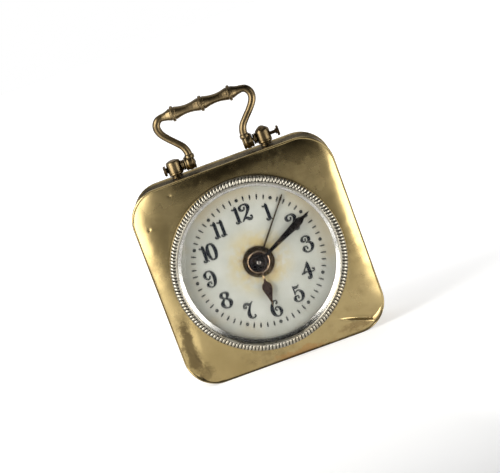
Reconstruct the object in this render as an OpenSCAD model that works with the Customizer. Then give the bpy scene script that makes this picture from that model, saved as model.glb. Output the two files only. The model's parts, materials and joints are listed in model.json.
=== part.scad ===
// Small travelling alarm clock of carriage type: a square brass case with round corners, a pillowed front,
// a round bezel and a bail handle, holding a two-barrel movement with an alarm that strikes a wire gong.
// It stands upright. +Z is up towards twelve o'clock, the dial faces -Y, +X is three o'clock, and the
// origin is the centre of the flat bottom of the case at the middle of its depth. Millimetres.

/* [Case] */
// Width of the case
case_w = 65; // [64:0.5:67]
// Height of the case without the handle
case_h = 64; // [63:0.5:66]
// Outer radius of the case corners
case_r = 10; // [9:0.5:11]
// Thickness of the case wall
wall = 1; // [0.8:0.1:1.2]
// How far the front swells out past the front rim
swell = 1.8; // [1.2:0.1:2]

/* [Dial and bezel] */
// Outer radius of the bezel
bezel_r = 27.15; // [27:0.05:27.5]
// Radius of the glass that shows inside the bezel lip
sight_r = 24.65; // [24.4:0.05:24.7]
// Radius of the dial disc
dial_r = 25; // [24.8:0.1:25]
// Length of the minute hand from the centre
minute_len = 22; // [21.5:0.25:23]
// Length of the hour hand from the centre
hour_len = 14.8; // [13:0.2:16]
// Dial angle of the minute hand, clockwise from twelve
minute_angle = 64; // [0:1:359]
// Dial angle of the hour hand, clockwise from twelve
hour_angle = 182; // [0:1:359]
// Dial angle of the alarm hand, clockwise from twelve
alarm_angle = 38.7; // [0:0.1:359]

/* [Handle] */
// Distance of each post from the middle of the case
post_x = 14.6; // [14.4:0.1:15]
// Height of the handle's pivot above the case
pivot_lift = 3; // [2.8:0.1:3.2]
// Height of the middle of the bar above the case
bar_lift = 18.9; // [18:0.1:20]
// Radius of the bent arms
arm_r = 1.1; // [1:0.05:1.2]

/* [Movement] */
// Teeth of the great wheel on the time barrel
great_teeth = 72; // [72:12:84]
// Leaves of the centre pinion
centre_leaves = 12; // [12:1:12]
// Tooth module of both great wheels
great_module = 0.4; // [0.39:0.01:0.41]
// Teeth of the centre wheel
centre_teeth = 64; // [60:4:64]
// Teeth of the third and fourth wheels
train_teeth = 60; // [56:4:60]
// Leaves of the third, fourth and escape pinions
train_leaves = 8; // [8:1:8]
// Clearance all round a pivot or pipe that turns
running = 0.04; // [0.03:0.01:0.05]

/* [Hidden] */
$fn = 48;

// Depth of each layer, from the front of the clock (-Y) to its back
dial_z = case_h / 2;
band_front = -9;
band_back = 8.4;
cover_t = 0.8;
cover_back = band_back + cover_t;
crest_y = band_front - swell;
bezel_back = crest_y;
bezel_front = bezel_back - 3.1;
glass_back = -12.2;
glass_front = glass_back - 2;
dial_front = -8.6;
dial_back = -8;
fp_front = -6;
fp_back = -4.8;
bp_front = 3.6;
bp_back = 4.8;
ratchet_y = 5;
ratchet_t = 0.7;
gong_y = 6.9;

// Case details
lip = 2;
plate_w = 58;
plate_r = 12;
pillar_at = 23.5;
neck_r = 25.95;
dial_hole_r = 1.8;
cover_screw_x = 30.7;
cover_screw_z = 30.2;
key_hole_r = 1.6;
knob_hole_r = 1.4;
stop_hole_r = 1;
cover_screw_r = 0.55;
frame_screw_r = 0.6;
post_thread_r = 0.9;
smooth = 96;
through = 1;

// Sizes of the turned parts in the movement
pivot_r = 0.3;
shaft_r = 0.45;
staff_r = 0.35;
centre_front_r = 0.5;
centre_back_r = 0.75;
cannon_r = 0.8;
hour_pipe_r = 1.15;
alarm_pipe_r = 1.55;
barrel_core_r = 1.2;
barrel_pivot_r = 0.6;
wind_r = 1;
ratchet_r = 4.5;
ratchet_teeth = 24;
click_pivot = 7.2;
click_hole_r = 0.55;
time_drum_r = 13.2;
alarm_drum_r = 11;
great_t = 0.8;
great_y = bp_front - 1.8;
shoulder = 0.12;
pillar_pivot_r = 0.8;
dial_foot_r = 0.5;
stud_r = 0.5;
set_arbor_r = 0.6;
stop_pivot_r = 0.5;
regulator_boss_r = 1.2;

// Depths of the wheels between the plates, at the front of each
wheel_t = 0.4;
pinion_over = 0.15;
centre_y = -4.5;
third_y = -3.2;
fourth_y = -1.6;
escape_y = 0.2;
lever_y = 0.9;
roller_y = 1.5;
balance_y = 2.1;
clutch_y = 0.1;
strike_y = -3.6;
strike_t = 0.5;
hammer_arm_y = 6.7;

// Motion work: pinion 12 to wheel 36, pinion 10 to wheel 40, so the hour hand turns once in twelve
cannon_leaves = 12;
minute_teeth = 36;
minute_leaves = 10;
hour_teeth = 40;
cannon_module = 0.3;
motion_centres = (cannon_leaves + minute_teeth) * cannon_module / 2;
hour_module = 2 * motion_centres / (minute_leaves + hour_teeth);
alarm_teeth = 48;
alarm_leaves = 16;
alarm_module = 0.3125;

// Time train
centre_module = 0.22;
third_module = 0.2;
fourth_module = 0.18;
escape_teeth = 15;
escape_r = 3.6;
escape_to_pallet = 4.6;
pallet_to_balance = 6.2;
balance_r = 5.6;

// Alarm train
alarm_great_teeth = 60;
strike_leaves = 10;
strike_teeth = 12;
strike_r = 4;
strike_to_hammer = 6.05;

// Directions between arbors, anticlockwise from +X as seen from the front
barrel_dir = -20;
minute_dir = 35;
set_dir = -90;
third_dir = 100;
fourth_dir = 75;
escape_dir = 160;
lever_dir = 150;
strike_dir = -47;
hammer_dir = -27;
time_click_dir = 60;
alarm_click_dir = 160;

function polar(r, a) = [r * cos(a), r * sin(a)];

// Places of the arbors, measured from the middle of the dial
barrel_at = polar((great_teeth + centre_leaves) * great_module / 2, barrel_dir);
alarm_at = [-16.5, barrel_at.y];
minute_at = polar(motion_centres, minute_dir);
set_at = polar((alarm_teeth + alarm_leaves) * alarm_module / 2, set_dir);
third_at = polar((centre_teeth + train_leaves) * centre_module / 2, third_dir);
fourth_at = third_at + polar((train_teeth + train_leaves) * third_module / 2, fourth_dir);
escape_at = fourth_at + polar((train_teeth + train_leaves) * fourth_module / 2, escape_dir);
pallet_at = escape_at + polar(escape_to_pallet, lever_dir);
balance_at = pallet_at + polar(pallet_to_balance, lever_dir);
strike_at = alarm_at + polar((alarm_great_teeth + strike_leaves) * great_module / 2, strike_dir);
hammer_at = strike_at + polar(strike_to_hammer, hammer_dir);
stop_at = [12.5, -13.5];
corners = [for (sx = [-1, 1], sz = [-1, 1]) [sx * pillar_at, sz * pillar_at]];
cover_screws_at = [[-cover_screw_x, 0], [cover_screw_x, 0], [0, -cover_screw_z], [0, cover_screw_z]];
dial_feet_at = [[-19, 0], [19, 0]];
hammer_head_at = [7.2, -20.1];
regulator_dir = -60;
regulator_len = 7;
regulator_swing = 12;
gong_ring_r = 24.5;
gong_wire_r = 0.6;
gong_from = 160;
gong_sweep = 260;

// ---- Helpers: every flat drawing is in X and Z about the middle of the dial ----

// Extrudes a flat drawing from depth y0 to depth y1
module slab(y0, y1) {
  translate([0, y1, dial_z]) rotate([90, 0, 0]) linear_extrude(y1 - y0) children();
}

// Cylinder along Y at a place on the dial plane
module rod(r, y0, y1, at = [0, 0]) {
  translate([at.x, y1, dial_z + at.y]) rotate([90, 0, 0]) cylinder(r = r, h = y1 - y0);
}

// Solid of revolution along Y; each point of the outline is [radius, depth]
module turned(outline, at = [0, 0]) {
  translate([at.x, 0, dial_z + at.y]) rotate([90, 0, 0]) rotate_extrude($fn = smooth)
    polygon([for (p = outline) [p[0], -p[1]]]);
}

// Rectangle with round corners
module rounded(w, h, r) {
  square([w - 2 * r, h], center = true);
  square([w, h - 2 * r], center = true);
  for (sx = [-1, 1], sy = [-1, 1]) translate([sx * (w / 2 - r), sy * (h / 2 - r)]) circle(r = r);
}

// Outline of a toothed wheel with a tooth centred at angle phase
module teeth(n, m, phase, add, root_part, tip_part) {
  r = n * m / 2;
  pitch = 360 / n;
  root_r = r - 1.1 * m;
  tip_r = r + add * m;
  polygon([for (i = [0 : n - 1]) each [
    polar(root_r, phase + (i - root_part / 2) * pitch),
    polar(tip_r, phase + (i - tip_part / 2) * pitch),
    polar(tip_r, phase + (i + tip_part / 2) * pitch),
    polar(root_r, phase + (i + root_part / 2) * pitch)]]);
}

module wheel_teeth(n, m, phase) teeth(n, m, phase, 0.75, 0.6, 0.26);

module pinion_leaves(n, m, phase) teeth(n, m, phase, 0.6, 0.46, 0.26);

// Crossed-out wheel: toothed rim, hub and spokes
module spoked(n, m, phase, spokes, hub) {
  rim = n * m / 2 - 1.1 * m - 0.7;
  difference() {
    wheel_teeth(n, m, phase);
    circle(r = rim);
  }
  spokes(spokes, hub, rim + 0.2, 0.7);
}

module spokes(count, hub, reach, width) {
  circle(r = hub);
  for (i = [0 : count - 1]) rotate(i * 360 / count) translate([0, -width / 2]) square([reach, width]);
}

// Shaft between the plates with a thin pivot in each plate
module arbor(at, r = shaft_r) {
  rod(r, fp_back + shoulder, bp_front - shoulder, at);
  rod(pivot_r, fp_front + 0.2, bp_back - 0.2, at);
}

// Pinion in mesh with a thin wheel whose front is at depth y, and a little longer than that wheel is thick
module train_pinion(at, y, leaves_module, phase) {
  slab(y - pinion_over, y + wheel_t + pinion_over) translate(at)
    pinion_leaves(train_leaves, leaves_module, phase);
}

// Flat spiral strip from radius r0 to r1
module spiral(r0, r1, turns, strip, steps = 24) {
  n = turns * steps;
  function ray(i, extra) = polar(r0 + (r1 - r0) * i / n + extra, i * 360 / steps);
  polygon(concat([for (i = [0 : n]) ray(i, strip)], [for (i = [n : -1 : 0]) ray(i, 0)]));
}

module screw(at, shaft, length, head_r, head_t, top) {
  difference() {
    union() {
      rod(shaft, top - head_t - length, top - head_t, at);
      rod(head_r, top - head_t, top, at);
    }
    translate([at.x, top, dial_z + at.y]) cube([3 * head_r, head_t, 0.3 * head_r], center = true);
  }
}

// ---- Case ----

module case_band() {
  post_hole_r = 0.95;
  color("darkgoldenrod") difference() {
    union() {
      slab(band_front, band_back) difference() {
        rounded(case_w, case_h, case_r);
        rounded(case_w - 2 * wall, case_h - 2 * wall, case_r - wall);
      }
      slab(band_back - 1, band_back) difference() {
        rounded(case_w - wall, case_h - wall, case_r - wall / 2);
        rounded(case_w - 2 * wall - 2 * lip, case_h - 2 * wall - 2 * lip, case_r - wall - lip);
      }
    }
    for (s = [-1, 1]) translate([s * post_x, 0, case_h - 2 * wall]) cylinder(r = post_hole_r, h = 3 * wall);
    for (p = cover_screws_at) rod(cover_screw_r, band_back - 2, band_back + through, p);
  }
}

// Pillowed front: flat drawing of each level, swelling towards the bezel
module pillow(inset, back, rise) {
  hull() {
    slab(back - 0.05, back) rounded(case_w - 2 * inset, case_h - 2 * inset, case_r - inset, $fn = 32);
    slab(back - 0.55 * rise, back - 0.5 * rise)
      rounded(case_w - 2.6 - 2 * inset, case_h - 2.6 - 2 * inset, case_r - inset, $fn = 32);
    slab(back - rise, back - rise + 0.05) circle(r = bezel_r + 0.6 - inset, $fn = 64);
  }
}

module front_shell() {
  sheet = 0.8;
  color("goldenrod") difference() {
    pillow(0, band_front, swell);
    pillow(sheet, band_front + sheet, swell);
    rod(neck_r + running, crest_y - through, band_front + through, $fn = smooth);
  }
}

module bezel() {
  color("silver") turned([
    [neck_r, band_front], [neck_r, bezel_back], [bezel_r - 0.25, bezel_back], [bezel_r, bezel_back - 0.4],
    [bezel_r, bezel_front + 1.4], [bezel_r - 0.45, bezel_front + 0.5], [bezel_r - 1.2, bezel_front],
    [sight_r + 0.7, bezel_front], [sight_r, bezel_front + 0.45], [sight_r, bezel_front + 0.9],
    [sight_r + 0.55, bezel_front + 0.9], [sight_r + 0.55, band_front]]);
}

module glass() {
  rim_y = bezel_front + 0.9;
  bevel_r = 22.4;
  color([0.8, 0.9, 0.95, 0.4]) turned([
    [0, glass_back], [sight_r + 0.5, glass_back], [sight_r + 0.5, rim_y], [sight_r - 0.1, rim_y],
    [bevel_r, glass_front + 0.6], [0.7 * bevel_r, glass_front + 0.28], [0.35 * bevel_r, glass_front + 0.06],
    [0, glass_front]]);
}

module reflector_ring() {
  color("dimgray") turned([
    [sight_r + 0.05, dial_front], [sight_r + 0.5, dial_front], [sight_r + 0.5, glass_back],
    [sight_r + 0.05, glass_back]]);
}

module dial() {
  color("ivory") turned([[dial_hole_r, dial_front], [dial_r, dial_front], [dial_r, dial_back],
    [dial_hole_r, dial_back]]);
}

module dial_feet() {
  color("goldenrod") for (p = dial_feet_at) rod(dial_foot_r, dial_back, fp_back - 0.1, p);
}

module cover_hole(r, at) rod(r, band_back - through, cover_back + through, at);

module back_cover() {
  color("darkgoldenrod") difference() {
    slab(band_back, cover_back) rounded(case_w - 1, case_h - 1, case_r - 0.5);
    for (p = corners) cover_hole(frame_screw_r, p);
    for (p = cover_screws_at) cover_hole(cover_screw_r, p);
    for (p = [barrel_at, alarm_at]) cover_hole(key_hole_r, p);
    for (p = [[0, 0], set_at]) cover_hole(knob_hole_r, p);
    cover_hole(stop_hole_r, stop_at);
    for (a = [-regulator_swing - 4 : 4 : regulator_swing + 4])
      cover_hole(0.7, balance_at + polar(regulator_len, regulator_dir + a));
  }
}

module cover_screws() {
  color("gold") for (p = cover_screws_at) screw(p, cover_screw_r, 1.8, 1, 0.6, cover_back + 0.6);
}

module movement_screws() {
  color("gold") for (p = corners) screw(p, frame_screw_r, 9, 1.3, 0.7, cover_back + 0.7);
}

module standoffs() {
  outer = 1.6;
  color("khaki") for (p = corners)
    turned([[frame_screw_r, bp_back], [outer, bp_back], [outer, band_back], [frame_screw_r, band_back]], p);
}

// ---- Handle ----

bar_z = case_h + bar_lift;
pivot_z = case_h + pivot_lift;
pivot_screw_r = 0.55;
knuckle_x = 9.5;
rib_r = 2.2;
arm_foot = [9.1, pivot_lift + rib_r + 0.1];
stub = [0, 0.3];

// Solid of revolution along X about the middle of the bar; each point is [distance along X, radius]
module bar_turning(outline) {
  translate([0, 0, bar_z]) rotate([90, 0, 90]) rotate_extrude()
    polygon(concat([[0, -outline[len(outline) - 1][0]]],
      [for (i = [len(outline) - 1 : -1 : 1]) [outline[i][1], -outline[i][0]]],
      [for (p = outline) [p[1], p[0]]],
      [[0, outline[len(outline) - 1][0]]]));
}

// Points along a cubic curve with four control points
function curve(p, steps) = [for (i = [0 : steps]) let (t = i / steps, u = 1 - t)
  u * u * u * p[0] + 3 * u * u * t * p[1] + 3 * u * t * t * p[2] + t * t * t * p[3]];

// Round bar swept along points [x, height above the case] in the plane of the handle
module swept(path, r, sides = 16) {
  last = len(path) - 1;
  function along(i) = let (d = path[min(i + 1, last)] - path[max(i - 1, 0)]) d / norm(d);
  rings = [for (i = [0 : last], j = [0 : sides - 1]) let (t = along(i), a = j * 360 / sides)
    [path[i].x + r * cos(a) * t.y, r * sin(a), case_h + path[i].y - r * cos(a) * t.x]];
  skin = [for (i = [0 : last - 1], j = [0 : sides - 1]) let (k = (j + 1) % sides)
    [i * sides + j, (i + 1) * sides + j, (i + 1) * sides + k, i * sides + k]];
  ends = [[for (j = [0 : sides - 1]) j], [for (j = [sides - 1 : -1 : 0]) last * sides + j]];
  polyhedron(rings, concat(skin, ends));
}

module handle_bail() {
  shoulder_at = [15, 14.2];
  rise = curve([arm_foot + stub, [9.1, 9.5], [12.6, 10.5], shoulder_at], 9);
  turn = curve([shoulder_at, [16.2, 16.2], [15.8, bar_lift], [12, bar_lift]], 8);
  arm = concat([arm_foot], rise, [for (i = [1 : len(turn) - 1]) turn[i]]);
  color("peru") {
    bar_turning([[0, 2.5], [0.7, 2.35], [1.3, 1.9], [2.2, 1.7], [4.6, 1.4], [7, 1.7], [8, 1.9], [8.6, 2.35],
      [9.25, 2.5], [9.9, 2.35], [10.5, 1.8], [11.6, 1.45], [12.6, 1.25]]);
    swept(arm, arm_r);
    mirror([1, 0, 0]) swept(arm, arm_r);
  }
}

module handle_knuckles() {
  half = 1.6;
  rib_t = 0.6;
  color("sienna") for (s = [-1, 1]) difference() {
    union() {
      translate([s * knuckle_x - half, 0, pivot_z]) rotate([0, 90, 0]) cylinder(r = 2, h = 2 * half);
      for (e = [-1, 1]) translate([s * knuckle_x + e * (half - rib_t / 2) - rib_t / 2, 0, pivot_z])
        rotate([0, 90, 0]) cylinder(r = rib_r, h = rib_t);
      translate([s * arm_foot.x, 0, pivot_z]) cylinder(r = 1.5, h = arm_foot.y - pivot_lift);
    }
    translate([s * knuckle_x - 2 * half, 0, pivot_z]) rotate([0, 90, 0])
      cylinder(r = pivot_screw_r + running, h = 4 * half);
  }
}

// Turned post about Z; the outline is [radius, height above the case]
module post(side, cap) {
  body_r = 2.3;
  thread_end = -2.6 * wall;
  stem = [[0, thread_end], [post_thread_r, thread_end], [post_thread_r, 0], [1.9, 0], [1.9, 0.6], [1.6, 0.9],
    [body_r, 1.5], [body_r, 4.4]];
  difference() {
    translate([side * post_x, 0, case_h]) rotate_extrude() polygon(concat(stem, cap));
    translate([side * post_x - 1.5 * body_r, 0, pivot_z]) rotate([0, 90, 0])
      cylinder(r = pivot_screw_r, h = 3 * body_r);
  }
}

module handle_post_left() {
  color("saddlebrown") post(-1, [[2.15, 5], [1.6, 5.6], [0.8, 5.95], [0, 6]]);
}

module handle_post_right() {
  color("saddlebrown") post(1, [[2.2, 4.9], [1.6, 5.5], [0.7, 6.1], [0, 6.3]]);
}

module post_nuts() {
  nut_t = 1.4;
  color("goldenrod") for (s = [-1, 1]) translate([s * post_x, 0, case_h - wall - nut_t]) difference() {
    cylinder(r = 2, h = nut_t, $fn = 6);
    translate([0, 0, -through]) cylinder(r = post_thread_r, h = nut_t + 2 * through);
  }
}

module pivot_screws() {
  inner = knuckle_x - 1.9;
  outer = post_x + 2.3;
  head_t = 1.2;
  worked_loose = 1.6;
  color("sienna") for (s = [-1, 1]) translate([s > 0 ? worked_loose : 0, 0, 0]) difference() {
    union() {
      translate([s > 0 ? inner : -outer, 0, pivot_z]) rotate([0, 90, 0])
        cylinder(r = pivot_screw_r, h = outer - inner);
      translate([s > 0 ? outer : -outer - head_t, 0, pivot_z]) rotate([0, 90, 0])
        cylinder(r = 1.35, h = head_t);
    }
    translate([s * (outer + head_t), 0, pivot_z]) cube([0.8, 0.4, 4], center = true);
  }
}

module pivot_washers() {
  washer_x = 11.25;
  washer_t = 1.05;
  color("darkgoldenrod") for (s = [-1, 1]) translate([s > 0 ? washer_x : -washer_x - washer_t, 0, pivot_z])
    rotate([0, 90, 0]) difference() {
      cylinder(r = 1.7, h = washer_t);
      translate([0, 0, -through]) cylinder(r = pivot_screw_r, h = washer_t + 2 * through);
    }
}

// ---- Frame of the movement ----

module front_plate() {
  module hole(r, at) rod(r, fp_front - through, fp_back + through, at);
  color("khaki") difference() {
    slab(fp_front, fp_back) rounded(plate_w, plate_w, plate_r);
    for (p = corners) hole(pillar_pivot_r, p);
    for (p = dial_feet_at) hole(dial_foot_r, p);
    for (p = [third_at, fourth_at, escape_at, pallet_at, balance_at, strike_at, hammer_at])
      hole(pivot_r + running, p);
    for (p = [barrel_at, alarm_at]) hole(barrel_pivot_r + running, p);
    hole(centre_front_r + running, [0, 0]);
    hole(set_arbor_r + running, set_at);
    hole(stud_r, minute_at);
  }
}

module back_plate() {
  click_studs_at = [
    barrel_at + polar(click_pivot, time_click_dir),
    alarm_at + polar(click_pivot, alarm_click_dir)
  ];
  module hole(r, at) rod(r, bp_front - through, bp_back + through, at);
  color("khaki") difference() {
    union() {
      slab(bp_front, bp_back) rounded(plate_w, plate_w, plate_r);
      rod(regulator_boss_r, bp_back, bp_back + 0.55, balance_at);
      for (p = click_studs_at)
        rod(click_hole_r - running, bp_back, ratchet_y + ratchet_t + 0.15, p);
    }
    for (p = corners) hole(frame_screw_r, p);
    for (p = [third_at, fourth_at, escape_at, pallet_at, balance_at, strike_at]) hole(pivot_r + running, p);
    for (p = [barrel_at, alarm_at]) hole(wind_r + running, p);
    hole(centre_back_r + running, [0, 0]);
    hole(set_arbor_r + running, set_at);
    hole(shaft_r + running, hammer_at);
    hole(stop_pivot_r, stop_at);
  }
}

module pillars() {
  collar_r = 1.8;
  waist_r = 1.3;
  color("goldenrod") for (p = corners) difference() {
    turned([[0, fp_front], [pillar_pivot_r, fp_front], [pillar_pivot_r, fp_back], [collar_r, fp_back],
      [collar_r, fp_back + 1], [waist_r, fp_back + 1.4], [waist_r, bp_front - 1.4], [collar_r, bp_front - 1],
      [collar_r, bp_front], [0, bp_front]], p);
    rod(frame_screw_r, bp_front - 4.2, bp_front + through, p);
  }
}

// ---- Hands and motion work ----

// Symmetric hand along +Z turned to its dial angle; each point is [distance from the centre, half width]
module blade(outline, angle) {
  rotate(-angle) polygon(concat([for (p = outline) [-p[1], p[0]]],
    [for (i = [len(outline) - 1 : -1 : 0]) [outline[i][1], outline[i][0]]]));
}

module centre_arbor() {
  color("lightsteelblue") {
    rod(centre_front_r, -11.4, fp_back + shoulder);
    rod(centre_back_r, fp_back + shoulder, cover_back + 3);
  }
}

module cannon_pinion() {
  color("steelblue") difference() {
    union() {
      slab(fp_front - 0.8, fp_front - 0.1) pinion_leaves(cannon_leaves, cannon_module, minute_dir);
      rod(cannon_r, -10.15, fp_front - 0.1);
    }
    rod(centre_front_r, -12, fp_front + 1);
  }
}

module minute_hand() {
  hub_front = -10.8;
  color("black") difference() {
    union() {
      rod(2.5, hub_front, hub_front + 0.6);
      slab(hub_front + 0.2, hub_front + 0.45)
        blade([[1.5, 0.55], [5.4, 0.6], [11.7, 0.88], [16.3, 1.25], [17.4, 1.22], [18.6, 0.85], [19.7, 0.42],
          [20.8, 0.32], [minute_len, 0.05]], minute_angle);
    }
    rod(centre_front_r, -12, -9);
  }
}

// Knurled knob behind the cover, bored for its arbor
module knob(at, bore_r) {
  color("gold") difference() {
    union() {
      slab(cover_back + 0.7, cover_back + 3) translate(at) teeth(36, 0.22, 0, 0.5, 0.7, 0.4);
      rod(1.6, cover_back + 0.2, cover_back + 0.7, at);
    }
    rod(bore_r, cover_back - through, cover_back + 3 + through, at);
  }
}

module hand_set_knob() knob([0, 0], centre_back_r);

module clutch_spring() {
  color("silver") difference() {
    slab(clutch_y + 0.1, clutch_y + 0.35) {
      circle(r = 1.5);
      for (i = [0 : 2]) rotate(i * 120) translate([0, -0.4]) square([3, 0.8]);
    }
    rod(centre_back_r, clutch_y, clutch_y + through);
  }
}

module minute_wheel() {
  color("goldenrod") difference() {
    union() {
      slab(fp_front - 0.6, fp_front - 0.25) translate(minute_at)
        wheel_teeth(minute_teeth, cannon_module, minute_dir + 180 + 180 / minute_teeth);
      slab(fp_front - 1.3, fp_front - 0.6) translate(minute_at)
        pinion_leaves(minute_leaves, hour_module, minute_dir + 180);
    }
    rod(stud_r + running, -8, fp_front + through, minute_at);
  }
}

module minute_wheel_stud() {
  color("steelblue") {
    rod(stud_r, fp_front - 1.4, fp_back, minute_at);
    rod(0.9, fp_front - 0.2, fp_front, minute_at);
  }
}

module hour_wheel() {
  color("goldenrod") difference() {
    union() {
      slab(fp_front - 1.2, fp_front - 0.85)
        wheel_teeth(hour_teeth, hour_module, minute_dir + 180 / hour_teeth);
      rod(hour_pipe_r, -10, fp_front - 0.85);
    }
    rod(cannon_r + running, -12, fp_front);
  }
}

module hour_hand() {
  hub_front = -10;
  color("black") difference() {
    union() {
      rod(3.5, hub_front, hub_front + 0.5);
      slab(hub_front + 0.15, hub_front + 0.4)
        blade([[2.5, 0.5], [5.6, 0.36], [6.5, 0.55], [7.3, 1.35], [8.4, 1.62], [9.6, 1.4], [11.4, 0.75],
          [13, 0.35], [hour_len, 0.05]], hour_angle);
    }
    rod(hour_pipe_r, -12, -8);
  }
}

module alarm_wheel() {
  color("goldenrod") difference() {
    union() {
      slab(fp_front - 1.75, fp_front - 1.4) wheel_teeth(alarm_teeth, alarm_module, set_dir);
      rod(alarm_pipe_r, -9.3, fp_front - 1.4);
    }
    rod(hour_pipe_r + running, -12, fp_front);
  }
}

module alarm_hand() {
  hub_front = -9.3;
  color("rosybrown") difference() {
    union() {
      rod(4.95, hub_front, hub_front + 0.35);
      slab(hub_front + 0.05, hub_front + 0.25) blade([[3, 0.3], [8, 0.26], [minute_len, 0.12]], alarm_angle);
    }
    rod(alarm_pipe_r, -12, -8);
  }
}

module alarm_set_arbor() {
  color("lightsteelblue") {
    rod(set_arbor_r, fp_front - 1.9, cover_back + 3, set_at);
    slab(fp_front - 1.85, fp_front - 1.3) translate(set_at)
      pinion_leaves(alarm_leaves, alarm_module, set_dir + 180 + 180 / alarm_leaves);
    rod(1, fp_front - 1.3, fp_front - 0.1, set_at);
    rod(1, bp_front - 1.1, bp_front - 0.1, set_at);
  }
}

module alarm_set_knob() knob(set_at, set_arbor_r);

// ---- Barrels and winding ----

// Spring barrel: great wheel at the back and a hollow drum with a closed front
module barrel(at, teeth_n, phase, drum_r, front) {
  drum_wall = 0.6;
  drum_floor = 0.4;
  difference() {
    union() {
      slab(great_y, great_y + great_t) translate(at) wheel_teeth(teeth_n, great_module, phase);
      rod(drum_r, front, great_y, at);
    }
    rod(drum_r - drum_wall, front + drum_floor, great_y - 0.01, at);
    rod(barrel_core_r + running, fp_front, bp_back, at);
  }
}

module barrel_arbor(at) {
  color("lightsteelblue") {
    rod(barrel_pivot_r, fp_front + 0.1, fp_back + shoulder, at);
    rod(barrel_core_r, fp_back + shoulder, bp_front - shoulder, at);
    rod(wind_r, bp_front - shoulder, cover_back + 3, at);
  }
}

module ratchet(at, phase) {
  pitch = 360 / ratchet_teeth;
  color("steelblue") slab(ratchet_y, ratchet_y + ratchet_t) translate(at) rotate(phase) difference() {
    polygon([for (i = [0 : ratchet_teeth - 1]) each [
      polar(ratchet_r - 0.75, (i - 0.12) * pitch), polar(ratchet_r, i * pitch)]]);
    circle(r = wind_r);
  }
}

// Wing key on a winding square, lying across the clock
module wing_key(at) {
  hub_front = cover_back + 0.6;
  hub_back = cover_back + 3.4;
  hub_r = 1.9;
  wing_x = 4.9;
  wing_t = 1.1;
  color("gold") difference() {
    union() {
      turned([[0, hub_front], [hub_r, hub_front], [hub_r, hub_back - 0.6], [hub_r - 0.4, hub_back],
        [0, hub_back]], at);
      translate([at.x, 0, dial_z + at.y - wing_t / 2]) linear_extrude(wing_t) {
        for (s = [-1, 1]) translate([s * wing_x, cover_back + 3.9]) circle(r = 2.3);
        translate([-wing_x, cover_back + 2.3]) square([2 * wing_x, 3.2]);
      }
    }
    rod(wind_r, cover_back - through, cover_back + 3, at);
  }
}

// Click that holds a ratchet, drawn for a ratchet at the origin with the click's pivot on +X
module click(at, dir) {
  color("steelblue") slab(ratchet_y, ratchet_y + ratchet_t) translate(at) rotate(dir) difference() {
    union() {
      translate([click_pivot, 0]) circle(r = 1.05);
      polygon([[7.2, -1], [8.1, 0.4], [6.6, 2.2], [4.35, 2.65], [4.12, 2.3], [5.4, 1.2], [6.3, -0.3]]);
    }
    translate([click_pivot, 0]) circle(r = click_hole_r);
  }
}

module click_spring(at, dir) {
  stud_at = [8.75, 7.4];
  slab(ratchet_y, ratchet_y + 0.5) translate(at) rotate(dir)
    polygon([[7, 2.55], [8.6, 5.2], [8.9, 7], [8.6, 7], [8.35, 5.3], [6.85, 2.75]]);
  rod(0.7, bp_back, ratchet_y + ratchet_t, at + polar(norm(stud_at), dir + atan2(stud_at.y, stud_at.x)));
}

module click_springs() {
  color("silver") {
    click_spring(barrel_at, time_click_dir);
    click_spring(alarm_at, alarm_click_dir);
  }
}

module time_barrel() {
  color("goldenrod") barrel(barrel_at, great_teeth, barrel_dir + 180 + 180 / great_teeth, time_drum_r, -3.6);
}

module time_mainspring() {
  color("slategray") slab(-2.9, 1.2) translate(barrel_at) spiral(1.6, 12, 7, 0.3);
}

module time_arbor() barrel_arbor(barrel_at);

module time_ratchet() ratchet(barrel_at, 6);

module time_key() wing_key(barrel_at);

module alarm_barrel() {
  color("goldenrod") barrel(alarm_at, alarm_great_teeth, strike_dir, alarm_drum_r, -2.4);
}

module alarm_mainspring() {
  color("slategray") slab(-1.7, 1.2) translate(alarm_at) spiral(1.6, 9.8, 6, 0.3);
}

module alarm_arbor() barrel_arbor(alarm_at);

module alarm_ratchet() ratchet(alarm_at, 2);

module alarm_key() wing_key(alarm_at);

module time_click() click(barrel_at, time_click_dir);

module alarm_click() click(alarm_at, alarm_click_dir);

// ---- Going train ----

// Wheel and pinion on one pipe, parted in the middle where the clutch spring grips the arbor
module centre_wheel() {
  pipe_r = 1.3;
  pinion_y = great_y - 0.3;
  color("goldenrod") difference() {
    union() {
      slab(centre_y, centre_y + wheel_t) spoked(centre_teeth, centre_module, third_dir, 5, 1.6);
      rod(pipe_r, centre_y + wheel_t, clutch_y);
      rod(pipe_r, clutch_y + 0.5, pinion_y);
      slab(pinion_y, great_y + great_t + 0.2) pinion_leaves(centre_leaves, great_module, barrel_dir);
    }
    rod(centre_back_r + running, fp_back, bp_front);
  }
}

module third_wheel() {
  color("goldenrod") {
    arbor(third_at);
    train_pinion(third_at, centre_y, centre_module, third_dir + 180 + 180 / train_leaves);
    slab(third_y, third_y + wheel_t) translate(third_at)
      spoked(train_teeth, third_module, fourth_dir, 5, 1.2);
  }
}

module fourth_wheel() {
  color("goldenrod") {
    arbor(fourth_at);
    train_pinion(fourth_at, third_y, third_module, fourth_dir + 180 + 180 / train_leaves);
    slab(fourth_y, fourth_y + wheel_t) translate(fourth_at)
      spoked(train_teeth, fourth_module, escape_dir, 5, 1.1);
  }
}

module escape_wheel() {
  pitch = 360 / escape_teeth;
  root_r = 2.75;
  rim_r = 2.2;
  color("steelblue") {
    arbor(escape_at);
    train_pinion(escape_at, fourth_y, fourth_module, escape_dir + 180 + 180 / train_leaves);
    slab(escape_y, escape_y + wheel_t) translate(escape_at) {
      difference() {
        polygon([for (i = [0 : escape_teeth - 1]) each [
          polar(root_r, (i - 0.3) * pitch), polar(escape_r, i * pitch),
          polar(escape_r, (i + 0.14) * pitch), polar(root_r, (i + 0.1) * pitch)]]);
        circle(r = rim_r);
      }
      spokes(4, 0.9, rim_r + 0.2, 0.5);
    }
  }
}

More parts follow.
